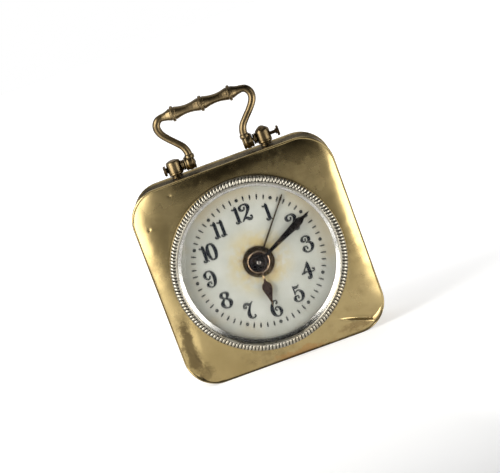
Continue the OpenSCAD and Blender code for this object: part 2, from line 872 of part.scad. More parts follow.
// Lever with two pallet pins; the drawing has the balance on +X and the escape wheel on -X
module pallet_lever() {
  pin_gap = 0.45;
  pin_r = 0.15;
  fork_reach = 4.7;
  pin_circle = escape_r + pin_gap + pin_r;
  pin_angle = 40;
  pin_at = [for (s = [-1, 1])
    [-escape_to_pallet + pin_circle * cos(pin_angle), s * pin_circle * sin(pin_angle)]];
  color("steelblue") {
    arbor(pallet_at, staff_r);
    slab(lever_y, lever_y + wheel_t) translate(pallet_at) rotate(lever_dir) {
      circle(r = 0.8);
      for (p = pin_at) rotate(atan2(p.y, p.x)) translate([0, -0.3]) square([norm(p) + 0.3, 0.6]);
      translate([0, -0.25]) square([fork_reach - 0.9, 0.5]);
      for (s = [-1, 1]) translate([fork_reach - 1.1, s * 0.5 - 0.2]) square([1.1, 0.4]);
      translate([fork_reach - 1.2, -0.7]) square([0.4, 1.4]);
    }
    for (p = pin_at)
      rod(pin_r, escape_y - 0.15, lever_y, pallet_at + polar(norm(p), lever_dir + atan2(p.y, p.x)));
  }
}

module balance_wheel() {
  roller_pin = 1.05;
  rim_t = 0.6;
  rim_w = 0.8;
  color("gold") {
    arbor(balance_at, staff_r);
    slab(balance_y, balance_y + rim_t) translate(balance_at) {
      difference() {
        circle(r = balance_r);
        circle(r = balance_r - rim_w);
      }
      spokes(3, 0.9, balance_r - rim_w / 2, 0.6);
    }
    rod(1.5, roller_y, roller_y + 0.3, balance_at);
    rod(0.16, roller_y - 0.5, roller_y, balance_at + polar(roller_pin, lever_dir + 180));
    rod(0.7, balance_y + rim_t, balance_y + 2 * rim_t, balance_at);
  }
}

module hairspring() {
  outer = 3.4;
  stud = 0.35;
  coil_y = balance_y + 0.85;
  color("slateblue") {
    slab(coil_y, coil_y + 0.3) translate(balance_at) spiral(1.05, outer, 6, 0.09);
    rod(stud, coil_y, bp_front, balance_at + [outer + stud, 0]);
  }
}

module regulator_lever() {
  tip = balance_at + polar(regulator_len, regulator_dir);
  color("lightsteelblue") {
    slab(bp_back + 0.08, bp_back + 0.45) translate(balance_at) difference() {
      union() {
        circle(r = 2.1);
        rotate(regulator_dir) translate([0, -0.5]) square([regulator_len, 1]);
        rotate(regulator_dir) translate([regulator_len, 0]) circle(r = 0.5);
      }
      circle(r = regulator_boss_r + running);
    }
    rod(0.4, bp_back + 0.08, cover_back + 1.2, tip);
    rod(0.65, cover_back + 0.4, cover_back + 1.2, tip);
  }
}

// ---- Alarm work ----

module strike_wheel() {
  pitch = 360 / strike_teeth;
  color("goldenrod") {
    arbor(strike_at);
    slab(great_y - 0.2, great_y + great_t + 0.2) translate(strike_at)
      pinion_leaves(strike_leaves, great_module, strike_dir + 180 + 180 / strike_leaves);
    slab(strike_y, strike_y + strike_t) translate(strike_at) polygon([for (i = [0 : strike_teeth - 1]) each [
      polar(strike_r, i * pitch), polar(strike_r - 1, (i + 0.25) * pitch),
      polar(strike_r - 1, (i + 0.5) * pitch)]]);
  }
}

module hammer() {
  reach = hammer_head_at - hammer_at;
  reach_dir = atan2(reach.y, reach.x);
  color("steelblue") {
    rod(shaft_r, fp_back + shoulder, hammer_arm_y + 0.6, hammer_at);
    rod(pivot_r, fp_front + 0.2, fp_back + shoulder, hammer_at);
    slab(strike_y, strike_y + strike_t) translate(hammer_at) {
      circle(r = 1);
      for (s = [-1, 1]) rotate(hammer_dir + 180 + s * 55) translate([0, -0.3]) square([3.2, 0.6]);
    }
    slab(hammer_arm_y, hammer_arm_y + 0.4) translate(hammer_at) {
      circle(r = 1);
      rotate(reach_dir) translate([0, -0.45]) square([norm(reach), 0.9]);
    }
    rod(1.5, hammer_arm_y - 0.6, hammer_arm_y + 0.8, hammer_head_at);
  }
}

module gong() {
  color("slateblue") translate([0, gong_y, dial_z]) rotate([90, 0, 0]) rotate([0, 0, gong_from])
    rotate_extrude(angle = gong_sweep, $fn = smooth) translate([gong_ring_r, 0])
      circle(r = gong_wire_r, $fn = 24);
}

module gong_block() {
  end_dir = gong_from + gong_sweep;
  width = 1.8;
  color("goldenrod") slab(bp_back, gong_y + 1.2) rotate(end_dir) translate([gong_ring_r, width / 2])
    square([3, width], center = true);
}

module alarm_stop_lever() {
  color("gold") {
    rod(stop_pivot_r - running, bp_front + 0.2, cover_back + 1, stop_at);
    rod(0.9, bp_back + 0.1, cover_back - 1, stop_at);
    slab(band_back - 0.7, band_back - 0.2) translate(stop_at) rotate(215) translate([0, -0.45])
      square([3.6, 0.9]);
    slab(cover_back + 0.15, cover_back + 0.85) translate(stop_at) {
      circle(r = 1.3);
      rotate(-70) translate([0, -0.6]) square([5, 1.2]);
      rotate(-70) translate([5.2, 0]) circle(r = 1.1);
    }
  }
}

case_band();
front_shell();
bezel();
glass();
reflector_ring();
dial();
dial_feet();
back_cover();
cover_screws();
movement_screws();
standoffs();
handle_bail();
handle_knuckles();
handle_post_left();
handle_post_right();
post_nuts();
pivot_screws();
pivot_washers();
front_plate();
back_plate();
pillars();
centre_arbor();
cannon_pinion();
minute_hand();
hand_set_knob();
clutch_spring();
minute_wheel();
minute_wheel_stud();
hour_wheel();
hour_hand();
alarm_wheel();
alarm_hand();
alarm_set_arbor();
alarm_set_knob();
time_barrel();
time_mainspring();
time_arbor();
time_ratchet();
time_key();
centre_wheel();
third_wheel();
fourth_wheel();
escape_wheel();
pallet_lever();
balance_wheel();
hairspring();
regulator_lever();
alarm_barrel();
alarm_mainspring();
alarm_arbor();
alarm_ratchet();
alarm_key();
strike_wheel();
hammer();
gong();
gong_block();
time_click();
alarm_click();
click_springs();
alarm_stop_lever();
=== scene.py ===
"""Looks of a small travelling alarm clock of carriage type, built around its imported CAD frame.

Everything is in metres in the frame of the CAD model: the clock stands upright, +Z is twelve o'clock,
the dial faces -Y and +X is three o'clock.
"""
import json
import math
import random

import bmesh
import bpy
from mathutils import Matrix, Vector, noise


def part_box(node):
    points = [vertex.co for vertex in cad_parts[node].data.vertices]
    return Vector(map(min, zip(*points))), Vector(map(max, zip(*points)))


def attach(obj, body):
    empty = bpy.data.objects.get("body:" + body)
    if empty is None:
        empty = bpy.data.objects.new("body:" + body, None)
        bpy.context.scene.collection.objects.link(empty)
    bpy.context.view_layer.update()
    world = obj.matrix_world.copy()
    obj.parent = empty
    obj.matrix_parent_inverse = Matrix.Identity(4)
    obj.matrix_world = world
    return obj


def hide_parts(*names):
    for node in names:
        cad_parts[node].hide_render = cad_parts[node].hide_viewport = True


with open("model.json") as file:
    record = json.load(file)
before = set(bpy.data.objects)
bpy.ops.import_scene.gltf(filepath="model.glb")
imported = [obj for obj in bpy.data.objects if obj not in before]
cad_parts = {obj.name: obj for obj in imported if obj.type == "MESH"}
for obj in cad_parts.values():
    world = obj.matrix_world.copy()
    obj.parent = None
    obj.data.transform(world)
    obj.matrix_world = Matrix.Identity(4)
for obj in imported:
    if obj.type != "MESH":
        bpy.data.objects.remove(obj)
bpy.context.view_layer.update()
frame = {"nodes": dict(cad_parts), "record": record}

MM = 0.001
TAU = 2 * math.pi
random.seed(7)

# ---- places taken from the frame

band_lo, band_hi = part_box("case_band")
shell_lo, shell_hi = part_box("front_shell")
bezel_lo, bezel_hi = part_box("bezel")
glass_lo, glass_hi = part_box("glass")
dial_lo, dial_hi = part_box("dial")

CASE_W = band_hi.x - band_lo.x
CASE_H = band_hi.z - band_lo.z
CORNER_R = 10 * MM                  # round corners of the case outline
CENTRE = Vector((0, 0, (dial_lo.z + dial_hi.z) / 2))
RIM_Y = shell_hi.y                  # plane where the front meets the side walls
CREST_Y = shell_lo.y                # plane where the bezel sits
BEZEL_R = bezel_hi.x
DIAL_R = dial_hi.x
DIAL_Y = dial_lo.y                  # front face of the dial
BEZEL_FRONT = bezel_lo.y


# ---- mesh helpers

def place_y(r, a, h, at=(0, 0)):
    """Point of a body of revolution about the dial's axis; at is measured from the dial's centre."""
    return Vector((at[0] + r * math.cos(a), h, CENTRE.z + at[1] + r * math.sin(a)))


def finish_mesh(name, bm, body, material, replaces=(), sharp=35, merge=1e-7):
    """Makes the mesh a named piece that rides on a body; edges above sharp degrees stay crisp."""
    bmesh.ops.remove_doubles(bm, verts=bm.verts, dist=merge)
    bmesh.ops.recalc_face_normals(bm, faces=bm.faces)
    mesh = bpy.data.meshes.new(name)
    bm.to_mesh(mesh)
    bm.free()
    mesh.shade_smooth()
    if sharp:
        mesh.set_sharp_from_angle(angle=math.radians(sharp))
    obj = bpy.data.objects.new(name, mesh)
    bpy.context.scene.collection.objects.link(obj)
    mesh.materials.append(material)
    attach(obj, body)
    if replaces:
        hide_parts(*replaces)


def add_grid(bm, rows):
    """Adds a grid of points as quads; each row closes on itself. Equal points are merged later."""
    made = [[bm.verts.new(p) for p in row] for row in rows]
    count = len(made[0])
    for row, following in zip(made, made[1:]):
        for u in range(count):
            k = (u + 1) % count
            bm.faces.new((row[u], row[k], following[k], following[u]))
    return made


def rounded(profile, radius, steps=4):
    """The outline with each inner corner turned into an arc of about that radius."""
    out = [Vector(profile[0])]
    for before, here, after in zip(profile, profile[1:], profile[2:]):
        p, q, r = Vector(before), Vector(here), Vector(after)
        cut = min(radius, (q - p).length * 0.45, (r - q).length * 0.45)
        a, b = q + (p - q).normalized() * cut, q + (r - q).normalized() * cut
        for i in range(steps + 1):
            t = i / steps
            out.append(a * (1 - t) ** 2 + q * 2 * t * (1 - t) + b * t * t)
    out.append(Vector(profile[-1]))
    return out


def add_turned(bm, profile, place, segments=96, radius=0.15 * MM):
    """Body of revolution. profile is [(radius, height)] in metres, closed at the axis where it ends there."""
    points = rounded(profile, radius)
    rows = [[place(max(p.x, 1e-6), TAU * i / segments, p.y) for i in range(segments)] for p in points]
    add_grid(bm, rows)


def axis_y(at):
    """Place function of a body of revolution about a line along Y."""
    return lambda r, a, h: place_y(r, a, h, at)


def axis_x(z, y=0.0):
    """Place function of a body of revolution about a line along X."""
    return lambda r, a, h: Vector((h, y + r * math.sin(a), z + r * math.cos(a)))


def axis_z(x, y=0.0):
    """Place function of a body of revolution about a line along Z."""
    return lambda r, a, h: Vector((x + r * math.cos(a), y + r * math.sin(a), h))


AXIS = axis_y((0, 0))               # axis of the dial and its hands


def in_mm(outline, start=0.0, side=1):
    """Outline given in millimetres as [(radius, height)], in metres, with its heights counted from start."""
    return [(r * MM, side * (start + h * MM)) for r, h in outline]


def smoothstep(a, b, x):
    """0 below a, 1 above b and an even S in between."""
    t = min(1, max(0, (x - a) / (b - a)))
    return t * t * (3 - 2 * t)


def curve_points(controls, steps=10):
    """Smooth curve through the control points (tuples of any length)."""
    out = []
    pts = [controls[0], *controls, controls[-1]]
    for i in range(1, len(pts) - 2):
        p0, p1, p2, p3 = (Vector(p) for p in pts[i - 1:i + 3])
        for k in range(steps):
            t = k / steps
            out.append(0.5 * (2 * p1 + (p2 - p0) * t + (2 * p0 - 5 * p1 + 4 * p2 - p3) * t * t
                              + (3 * p1 - p0 - 3 * p2 + p3) * t ** 3))
    out.append(Vector(controls[-1]))
    return out


# ---- material helpers

class Shader:
    """Small builder of a Principled material. Its coordinates are those of the object, in metres."""

    def __init__(self, name, inputs=None):
        self.material = bpy.data.materials.new(name)
        self.material.use_nodes = True
        self.tree = self.material.node_tree
        self.bsdf = self.tree.nodes["Principled BSDF"]
        self.coords = self.add("ShaderNodeTexCoord").outputs["Object"]
        for socket, value in (inputs or {}).items():
            self.bsdf.inputs[socket].default_value = value

    def add(self, kind, **values):
        """New node with some of its settings or inputs given by name."""
        node = self.tree.nodes.new(kind)
        for key, value in values.items():
            if hasattr(node, key):
                setattr(node, key, value)
            else:
                node.inputs[key].default_value = value
        return node

    def link(self, source, target):
        self.tree.links.new(source, target)

    def noise(self, scale, detail=4, rough=0.55, stretch=(1, 1, 1), offset=(0, 0, 0)):
        """Cloudy pattern from 0 to 1, finer with a larger scale."""
        node = self.add("ShaderNodeTexNoise", Scale=scale, Detail=detail, Roughness=rough)
        shift = self.add("ShaderNodeMapping", Location=offset, Scale=stretch)
        self.link(self.coords, shift.inputs["Vector"])
        self.link(shift.outputs["Vector"], node.inputs["Vector"])
        return node.outputs["Fac"]

    def ramp(self, value, low, high, to_low=0.0, to_high=1.0):
        """Smooth step of a value from to_low at low up to to_high at high."""
        node = self.add("ShaderNodeMapRange", interpolation_type="SMOOTHSTEP")
        for socket, limit in (("From Min", low), ("From Max", high), ("To Min", to_low), ("To Max", to_high)):
            node.inputs[socket].default_value = limit
        self.link(value, node.inputs["Value"])
        return node.outputs["Result"]

    def mix(self, factor, a, b):
        """Blend of two colours, each a socket or three numbers."""
        node = self.add("ShaderNodeMix", data_type="RGBA")
        for socket, value in ((node.inputs[0], factor), (node.inputs[6], a), (node.inputs[7], b)):
            if isinstance(value, bpy.types.NodeSocket):
                self.link(value, socket)
            elif isinstance(value, (int, float)):
                socket.default_value = value
            else:
                socket.default_value = (*value, 1)
        return node.outputs[2]

    def math(self, operation, a, b=0.0):
        node = self.add("ShaderNodeMath", operation=operation)
        for socket, value in zip(node.inputs, (a, b)):
            if isinstance(value, bpy.types.NodeSocket):
                self.link(value, socket)
            else:
                socket.default_value = value
        return node.outputs[0]

    def vector(self, operation, source, fixed=(0, 0, 0)):
        """Outputs of an operation on a vector socket and a fixed vector."""
        node = self.add("ShaderNodeVectorMath", operation=operation)
        self.link(source, node.inputs[0])
        node.inputs[1].default_value = fixed
        return node.outputs

    def distance(self, place, stretch=(1, 1, 1)):
        """Distance from a place, each axis multiplied by its stretch."""
        offset = self.vector("SUBTRACT", self.coords, place)[0]
        return self.vector("LENGTH", self.vector("MULTIPLY", offset, stretch)[0])["Value"]

    def pits(self, scale, size, sparse=0.55):
        """Small round specks: 1 inside a pit, 0 outside."""
        cells = self.add("ShaderNodeTexVoronoi", feature="F1", Scale=scale)
        self.link(self.coords, cells.inputs["Vector"])
        inside = self.ramp(cells.outputs["Distance"], size, size * 0.4)
        here = self.ramp(self.noise(scale * 0.3, 2), sparse, sparse + 0.06)
        return self.math("MULTIPLY", inside, here)

    def bump(self, layers, distance=0.0001):
        """Bump from [(height, strength)] layers in turn."""
        normal = None
        for height, strength in layers:
            node = self.add("ShaderNodeBump", Strength=strength, Distance=distance)
            self.link(height, node.inputs["Height"])
            if normal:
                self.link(normal, node.inputs["Normal"])
            normal = node.outputs["Normal"]
        self.link(normal, self.bsdf.inputs["Normal"])

    def crevice(self, distance, low=0.35, high=0.9):
        """1 in tight corners, where ambient occlusion finds shade, 0 in the open; used to paint shade into
        colours.
        """
        node = self.add("ShaderNodeAmbientOcclusion", samples=6, Distance=distance)
        return self.ramp(node.outputs["AO"], high, low)

    def edge(self, low=0.52, high=0.6):
        """1 on sharp outer edges, 0 elsewhere."""
        node = self.add("ShaderNodeNewGeometry")
        return self.ramp(node.outputs["Pointiness"], low, high)

    def colour(self, socket):
        self.link(socket, self.bsdf.inputs["Base Color"])

    def roughness(self, socket):
        self.link(socket, self.bsdf.inputs["Roughness"])


# Patches on the front, real stains and painted shade: middle and half size in millimetres from the dial's
# centre, strength and colour
CASE_STAINS_AND_SHADE = [
    # painted shade: dark reflection in the long dent low on the left and in the corner below it
    ((-29.2, -18.5), (2.3, 9.5), 0.75, (0.095, 0.066, 0.030)),
    ((-26.8, -27.0), (3.0, 3.0), 0.5, (0.11, 0.077, 0.034)),
    # rust stain at the bottom edge
    ((3.0, -31.2), (9.0, 1.9), 0.6, (0.36, 0.19, 0.07)),
    # darker brown under the lower right fold
    ((22.0, -29.0), (6.0, 1.6), 0.5, (0.17, 0.11, 0.05)),
    # painted shade: dark reflections in the top right corner and along the top
    ((22.0, 27.5), (7.0, 3.5), 0.5, (0.10, 0.07, 0.03)),
    ((4.0, 29.8), (16.0, 2.0), 0.6, (0.075, 0.05, 0.022)),
]


def aged_brass(name, light, mid, dark, rough, tarnish=0.5, scratch=(1, 1, 1), patches=(), worn_edges=0.5):
    """Brass polished by handling: warm mottling, brown tarnish, pits, fine scratches, and painted shade
    darkening the tight corners.
    """
    s = Shader(name, {"Metallic": 1})
    broad = s.noise(45, 5, 0.6)
    fine = s.noise(420, 6, 0.65, offset=(0.3, 0.1, 0.7))
    grain = s.noise(2600, 3, 0.6)
    tone = s.mix(s.ramp(broad, 0.32, 0.68), mid, light)
    tone = s.mix(s.ramp(fine, 0.42, 0.75, 0, 0.35), tone, mid)
    stain = s.math("MULTIPLY", s.ramp(s.noise(70, 7, 0.7, offset=(2, 1, 3)), 0.5, 0.72), tarnish)
    tone = s.mix(stain, tone, dark)
    # the patches are real stains and painted shade where the front reflects darkness
    for (x, z), (half_x, half_z), strength, colour in patches:
        reach = s.distance((x * MM, 0, CENTRE.z + z * MM), (1 / (half_x * MM), 0, 1 / (half_z * MM)))
        ragged = s.math("ADD", reach, s.ramp(s.noise(300, 6, 0.7), 0.3, 0.7, -0.45, 0.45))
        tone = s.mix(s.ramp(ragged, 1.15, 0.55, 0, strength), tone, colour)
    pits = s.pits(520, 0.16, 0.6)
    tone = s.mix(s.math("MULTIPLY", pits, 0.8), tone, dark)
    # painted shade: tight corners found by ambient occlusion darken towards a quarter of the dark tone
    tone = s.mix(s.math("MULTIPLY", s.crevice(0.0012), 0.8), tone, tuple(c * 0.25 for c in dark))
    if worn_edges:
        tone = s.mix(s.math("MULTIPLY", s.edge(), worn_edges), tone, light)
    s.colour(tone)
    rough_low = s.ramp(broad, 0.3, 0.7, rough[0], rough[1])
    s.roughness(s.math("ADD", rough_low, s.math("MULTIPLY", stain, 0.22)))
    lines = s.noise(900, 3, 0.5, stretch=scratch)
    s.bump([(lines, 0.10), (grain, 0.05), (pits, -0.5)], 0.00005)
    return s.material


def nickel(name, light, dark, rough):
    """Worn nickel plate: grey-yellow where it is thin, painted shade nearly black in the grooves and tight
    corners.
    """
    s = Shader(name, {"Metallic": 1})
    patch = s.noise(260, 5, 0.65)
    tone = s.mix(s.ramp(patch, 0.35, 0.7), tuple(c * 0.78 for c in light), light)
    tone = s.mix(s.ramp(s.noise(90, 4), 0.52, 0.72, 0, 0.45), tone, (0.55, 0.44, 0.26))
    # painted shade: tight corners found by ambient occlusion go towards the dark tone
    tone = s.mix(s.math("MULTIPLY", s.crevice(0.0007, 0.45, 0.95), 0.9), tone, dark)
    # painted shade: the deeper a point sits in a knurl groove, the nearer its colour goes to the dark tone
    groove = s.add("ShaderNodeAttribute", attribute_name="groove").outputs["Fac"]
    tone = s.mix(s.ramp(groove, 0.25, 0.7, 0, 0.92), tone, dark)
    s.colour(tone)
    s.roughness(s.math("ADD", s.ramp(patch, 0.3, 0.7, *rough), s.math("MULTIPLY", groove, 0.3)))
    s.bump([(s.noise(3000, 3), 0.06)], 0.00004)
    return s.material


def steel(name, tone, bright, rough, worn=None):
    """Plain metal in two mottled tones, with edges rubbed to a third one where worn is given."""
    s = Shader(name, {"Metallic": 1})
    patch = s.noise(350, 5, 0.6)
    surface = s.mix(s.ramp(patch, 0.35, 0.7), tone, bright)
    if worn:
        surface = s.mix(s.math("MULTIPLY", s.edge(0.53, 0.62), 0.8), surface, worn)
    s.colour(surface)
    s.roughness(s.ramp(patch, 0.3, 0.7, *rough))
    s.bump([(s.noise(2500, 2, stretch=(1, 1, 0.15)), 0.08)], 0.00004)
    return s.material


def clear_glass():
    """Thin clear glass: most light goes straight through, the rest meets a bright polished surface."""
    s = Shader("clear_glass",
               {"Transmission Weight": 1, "IOR": 1.9, "Base Color": (0.975, 0.985, 0.98, 1)})
    smear = s.noise(120, 6, 0.6, stretch=(1, 1, 0.4))
    s.roughness(s.ramp(smear, 0.5, 0.85, 0.03, 0.12))
    s.link(s.ramp(smear, 0.45, 0.8, 0.09, 0.13), s.bsdf.inputs["Alpha"])
    return s.material


def dial_paint():
    """Aged white dial: cream towards the edge, yellow and rust stains round the middle, brown specks."""
    s = Shader("dial_paint", {"Roughness": 0.4, "Coat Weight": 0.25, "Coat Roughness": 0.2})
    radius = s.distance((0, DIAL_Y, CENTRE.z))
    tone = s.mix(s.ramp(s.noise(110, 5, 0.6), 0.35, 0.7), (0.335, 0.342, 0.298), (0.405, 0.412, 0.370))
    cloud = s.noise(60, 4, offset=(1, 5, 2))
    edge = s.math("MULTIPLY", s.ramp(radius, 0.016, 0.025), s.ramp(cloud, 0.38, 0.62))
    tone = s.mix(s.math("MULTIPLY", edge, 0.8), tone, (0.38, 0.315, 0.19))
    cloud = s.noise(170, 6, 0.7, offset=(4, 0, 1))
    near = s.math("MULTIPLY", s.ramp(radius, 0.013, 0.005), s.ramp(cloud, 0.36, 0.6))
    tone = s.mix(s.math("MULTIPLY", near, 0.85), tone, (0.40, 0.315, 0.12))
    rust = s.math("MULTIPLY", s.ramp(radius, 0.0078, 0.0045), s.ramp(s.noise(420, 5, 0.7), 0.42, 0.62))
    tone = s.mix(s.math("MULTIPLY", rust, 0.7), tone, (0.24, 0.14, 0.045))
    specks = s.pits(420, 0.11, 0.62)
    tone = s.mix(s.math("MULTIPLY", specks, 0.7), tone, (0.18, 0.14, 0.09))
    s.colour(tone)
    s.bump([(s.noise(500, 4), 0.04)], 0.00005)
    return s.material


def print_black():
    """Blue-black print, a little worn."""
    s = Shader("print_black", {"Roughness": 0.5, "Specular IOR Level": 0.15})
    wear = s.ramp(s.noise(1500, 5, 0.7), 0.35, 0.75)
    s.colour(s.mix(wear, (0.002, 0.003, 0.006), (0.008, 0.010, 0.016)))
    s.bump([(wear, 0.05)], 0.00002)
    return s.material


# Brass: light, middle and dark tone, roughness from and to
case_brass = aged_brass("case_brass", (0.395, 0.305, 0.146), (0.30, 0.227, 0.100), (0.10, 0.066, 0.029),
                        (0.2, 0.3), patches=CASE_STAINS_AND_SHADE)
cover_brass = aged_brass("cover_brass", (0.47, 0.345, 0.155), (0.36, 0.26, 0.105), (0.14, 0.09, 0.037),
                         (0.3, 0.45), scratch=(0.25, 1, 6), worn_edges=0)
handle_brass = aged_brass("handle_brass", (0.20, 0.148, 0.078), (0.105, 0.076, 0.038), (0.028, 0.019, 0.010),
                          (0.22, 0.36), tarnish=0.85)
wheel_brass = aged_brass("wheel_brass", (0.80, 0.62, 0.30), (0.68, 0.5, 0.23), (0.35, 0.24, 0.1),
                         (0.25, 0.4), tarnish=0.25, worn_edges=0)
# its near-black tone is the painted shade of the grooves and tight corners
bezel_nickel = nickel("bezel_nickel", (0.385, 0.36, 0.30), (0.014, 0.012, 0.008), (0.22, 0.38))

# Steel and the like: two tones, roughness from and to, tone of the rubbed edges
ring_silver = steel("ring_silver", (0.40, 0.39, 0.36), (0.50, 0.49, 0.46), (0.12, 0.2))
black_steel = steel("black_steel", (0.004, 0.0035, 0.004), (0.022, 0.017, 0.015), (0.25, 0.45),
                    (0.07, 0.048, 0.028))
brown_steel = steel("brown_steel", (0.010, 0.006, 0.006), (0.045, 0.026, 0.021), (0.25, 0.42),
                    (0.42, 0.31, 0.16))
brown_gilt = steel("brown_gilt", (0.016, 0.011, 0.006), (0.055, 0.038, 0.019), (0.28, 0.45),
                   (0.14, 0.095, 0.045))
pin_steel = steel("pin_steel", (0.10, 0.09, 0.08), (0.22, 0.2, 0.18), (0.2, 0.35))
screw_brown = steel("screw_brown", (0.022, 0.015, 0.010), (0.085, 0.06, 0.035), (0.25, 0.42),
                    (0.22, 0.15, 0.08))
bead_gilt = steel("bead_gilt", (0.42, 0.29, 0.18), (0.70, 0.52, 0.36), (0.14, 0.22))
bright_steel = steel("bright_steel", (0.42, 0.42, 0.43), (0.62, 0.61, 0.6), (0.18, 0.35))
blue_steel = steel("blue_steel", (0.02, 0.03, 0.10), (0.05, 0.07, 0.2), (0.2, 0.35))
glass_clear = clear_glass()
dial_white = dial_paint()
print_ink = print_black()

SLOT_MATERIAL = {
    "case_brass": cover_brass, "bezel_nickel": bezel_nickel, "lens": glass_clear, "ring_metal": ring_silver,
    "dial_paint": dial_white, "handle_brass": handle_brass, "hand_steel": black_steel,
    "alarm_brass": brown_gilt, "movement_brass": wheel_brass, "movement_steel": bright_steel,
    "blued_steel": blue_steel,
}


def dress_cad_nodes():
    """Gives every CAD node its slot's material and slightly broken edges."""
    for row in frame["record"]["subparts"]:
        obj = frame["nodes"][row["node"]]
        obj.data.materials.clear()
        obj.data.materials.append(SLOT_MATERIAL[row["material_slot"]])
        weld = obj.modifiers.new("weld", "WELD")
        weld.merge_threshold = 1e-6
        bevel = obj.modifiers.new("bevel", "BEVEL")
        bevel.width = 0.06 * MM
        bevel.segments = 2
        bevel.limit_method = "ANGLE"
        bevel.angle_limit = math.radians(40)
        bevel.harden_normals = False


# ---- case

def outline_point(a, inset=0.0):
    """Point of the rounded square case outline in direction a, that far inside it."""
    hw, hh = CASE_W / 2 - inset, CASE_H / 2 - inset
    r = max(CORNER_R - inset, 1 * MM)
    c, s = math.cos(a), math.sin(a)
    t = min(hw / abs(c) if abs(c) > 1e-9 else 1e9, hh / abs(s) if abs(s) > 1e-9 else 1e9)
    x, z = c * t, s * t
    cx, cz = hw - r, hh - r
    if abs(x) > cx and abs(z) > cz:
        ox, oz = math.copysign(cx, c), math.copysign(cz, s)
        b = c * ox + s * oz
        t = b + math.sqrt(max(0, b * b - (ox * ox + oz * oz - r * r)))
        x, z = c * t, s * t
    return x, z


def even_angles(count):
    """Directions that step evenly along the case outline, so that its corners are smooth."""
    fine = [TAU * i / 3600 for i in range(3601)]
    pts = [outline_point(a) for a in fine]
    length = [0]
    for p, q in zip(pts, pts[1:]):
        length.append(length[-1] + math.hypot(q[0] - p[0], q[1] - p[1]))
    out, j = [], 0
    for i in range(count):
        want = length[-1] * i / count
        while length[j + 1] < want:
            j += 1
        t = (want - length[j]) / (length[j + 1] - length[j])
        out.append(fine[j] + t * (fine[j + 1] - fine[j]))
    return out


def crease(x, z, start, end, width):
    """Nearness of a point to a line (1 on it), distance to its side in mm and share of the way along it."""
    p, a, b = Vector((x, z)), Vector(start), Vector(end)
    along = (b - a).normalized()
    t = (p - a).dot(along)
    side = (p - a).cross(along)
    beyond = max(0, -t, t - (b - a).length)
    return math.exp(-(side / width) ** 2 - (beyond / (2.5 * width)) ** 2), side, t / (b - a).length


def front_dents(x, z):
    """How far the front is pushed in at a place on it, in millimetres; x and z are from the dial's centre."""
    push = 0.0
    # sharp fold in the lower right corner: the sheet above it sinks to a small ledge
    near, side, t = crease(x, z, (15.5, -24.5), (28.5, -29.5), 0.8)
    push += 0.25 * near * smoothstep(-0.2, 0.5, t)
    across = smoothstep(-5.0, -0.4, side) * smoothstep(0.45, -0.25, side)
    push += across * smoothstep(0.0, 0.6, t) * smoothstep(1.5, 1.05, t)
    # long shallow dent low on the left side
    push += 0.60 * crease(x, z, (-27.2, -12), (-28.6, -25.5), 1.5)[0]
    push += 0.35 * crease(x, z, (-28.6, -19), (-24.0, -29), 1.0)[0]
    # two small pits high on the left
    for pit_x, pit_z in ((-18.5, 28.6), (-27.8, 20.9)):
        push += 0.17 * math.exp(-((x - pit_x) ** 2 + (z - pit_z) ** 2) / 0.36 ** 2)
    # hand-raised unevenness of the whole sheet
    push += 0.10 * noise.noise(Vector((x * 0.09, z * 0.09, 3.1)))
    push += 0.035 * noise.noise(Vector((x * 0.33, z * 0.33, 8.2)))
    return push


def make_front_shell():
    """Pillowed front: seat under the bezel, long swell to the sides and a rolled edge at the rim."""
    bore = BEZEL_R - 1.15 * MM
    rise = RIM_Y - CREST_Y
    angles = even_angles(480)
    steps = 46

    def ring(share, y, inset=0.0, dented=True):
        """Ring of points, share of the way from the bore to the outline."""
        row = []
        for a in angles:
            ox, oz = outline_point(a, inset)
            ix, iz = bore * math.cos(a), bore * math.sin(a)
            x, z = ix + (ox - ix) * share, iz + (oz - iz) * share
            fade = smoothstep(0.06, 0.2, share) * (1 if share < 0.97 else 0.6) if dented else 0
            push = max(0, 0.06 + front_dents(x / MM, z / MM)) * MM * fade
            row.append(Vector((x, y + push, CENTRE.z + z)))
        return row

    rows = [ring(0.0, RIM_Y - 0.4 * MM, dented=False), ring(0.0, CREST_Y + 0.1 * MM, dented=False)]
    for i in range(steps + 1):
        s = i / steps
        swell = 0.60 * s ** 1.9 + 0.20 * s ** 8
        rows.append(ring(0.012 + s * 0.955, CREST_Y + rise * swell, 0.12 * MM))
    # rolled rim: over the edge, back along the side, then under
    for share, depth, inset in ((0.982, 0.90, 0.10), (0.994, 1.02, 0.05), (1.0, 1.2, 0.0), (1.0, 1.45, 0.0),
                                (1.0, 1.75, 0.02), (0.99, 1.85, 0.05), (0.98, 1.87, 0.1)):
        rows.append(ring(share, CREST_Y + rise * depth * 0.8, inset * MM, dented=share < 0.99))
    bm = bmesh.new()
    add_grid(bm, rows)
    finish_mesh("front_shell_skin", bm, "clock_body", case_brass, ["front_shell"], sharp=60)


def make_case_band():
    """Side wall: a little inside the front's rolled edge, with a seam and a rolled edge at the back."""
    # (inset, depth) in mm, first counted from the front edge, then from the back edge
    fore = [(3.0, 2.0), (1.2, 0.2), (0.45, 0), (0.32, 0.15), (0.30, 0.8), (0.12, 1.0), (0.05, 1.3),
            (0.10, 1.6), (0.34, 1.75)]
    aft = [(0.34, -2.1), (0.16, -1.95), (0.02, -1.5), (0.0, -1.0), (0.05, -0.35), (0.4, -0.02), (1.1, 0),
           (1.2, -0.9)]
    front = RIM_Y - 0.4 * MM
    angles = even_angles(480)
    rows = []
    for inset, y in in_mm(fore, front) + in_mm(aft, band_hi.y) + in_mm([(1.3, 2.2)], front):
        places = [outline_point(a, inset) for a in angles]
        rows.append([Vector((x, y, CENTRE.z + z)) for x, z in places])
    bm = bmesh.new()
    add_grid(bm, rows)
    finish_mesh("case_band_wall", bm, "clock_body", case_brass, ["case_band"], sharp=50)


# ---- bezel, glass and dial

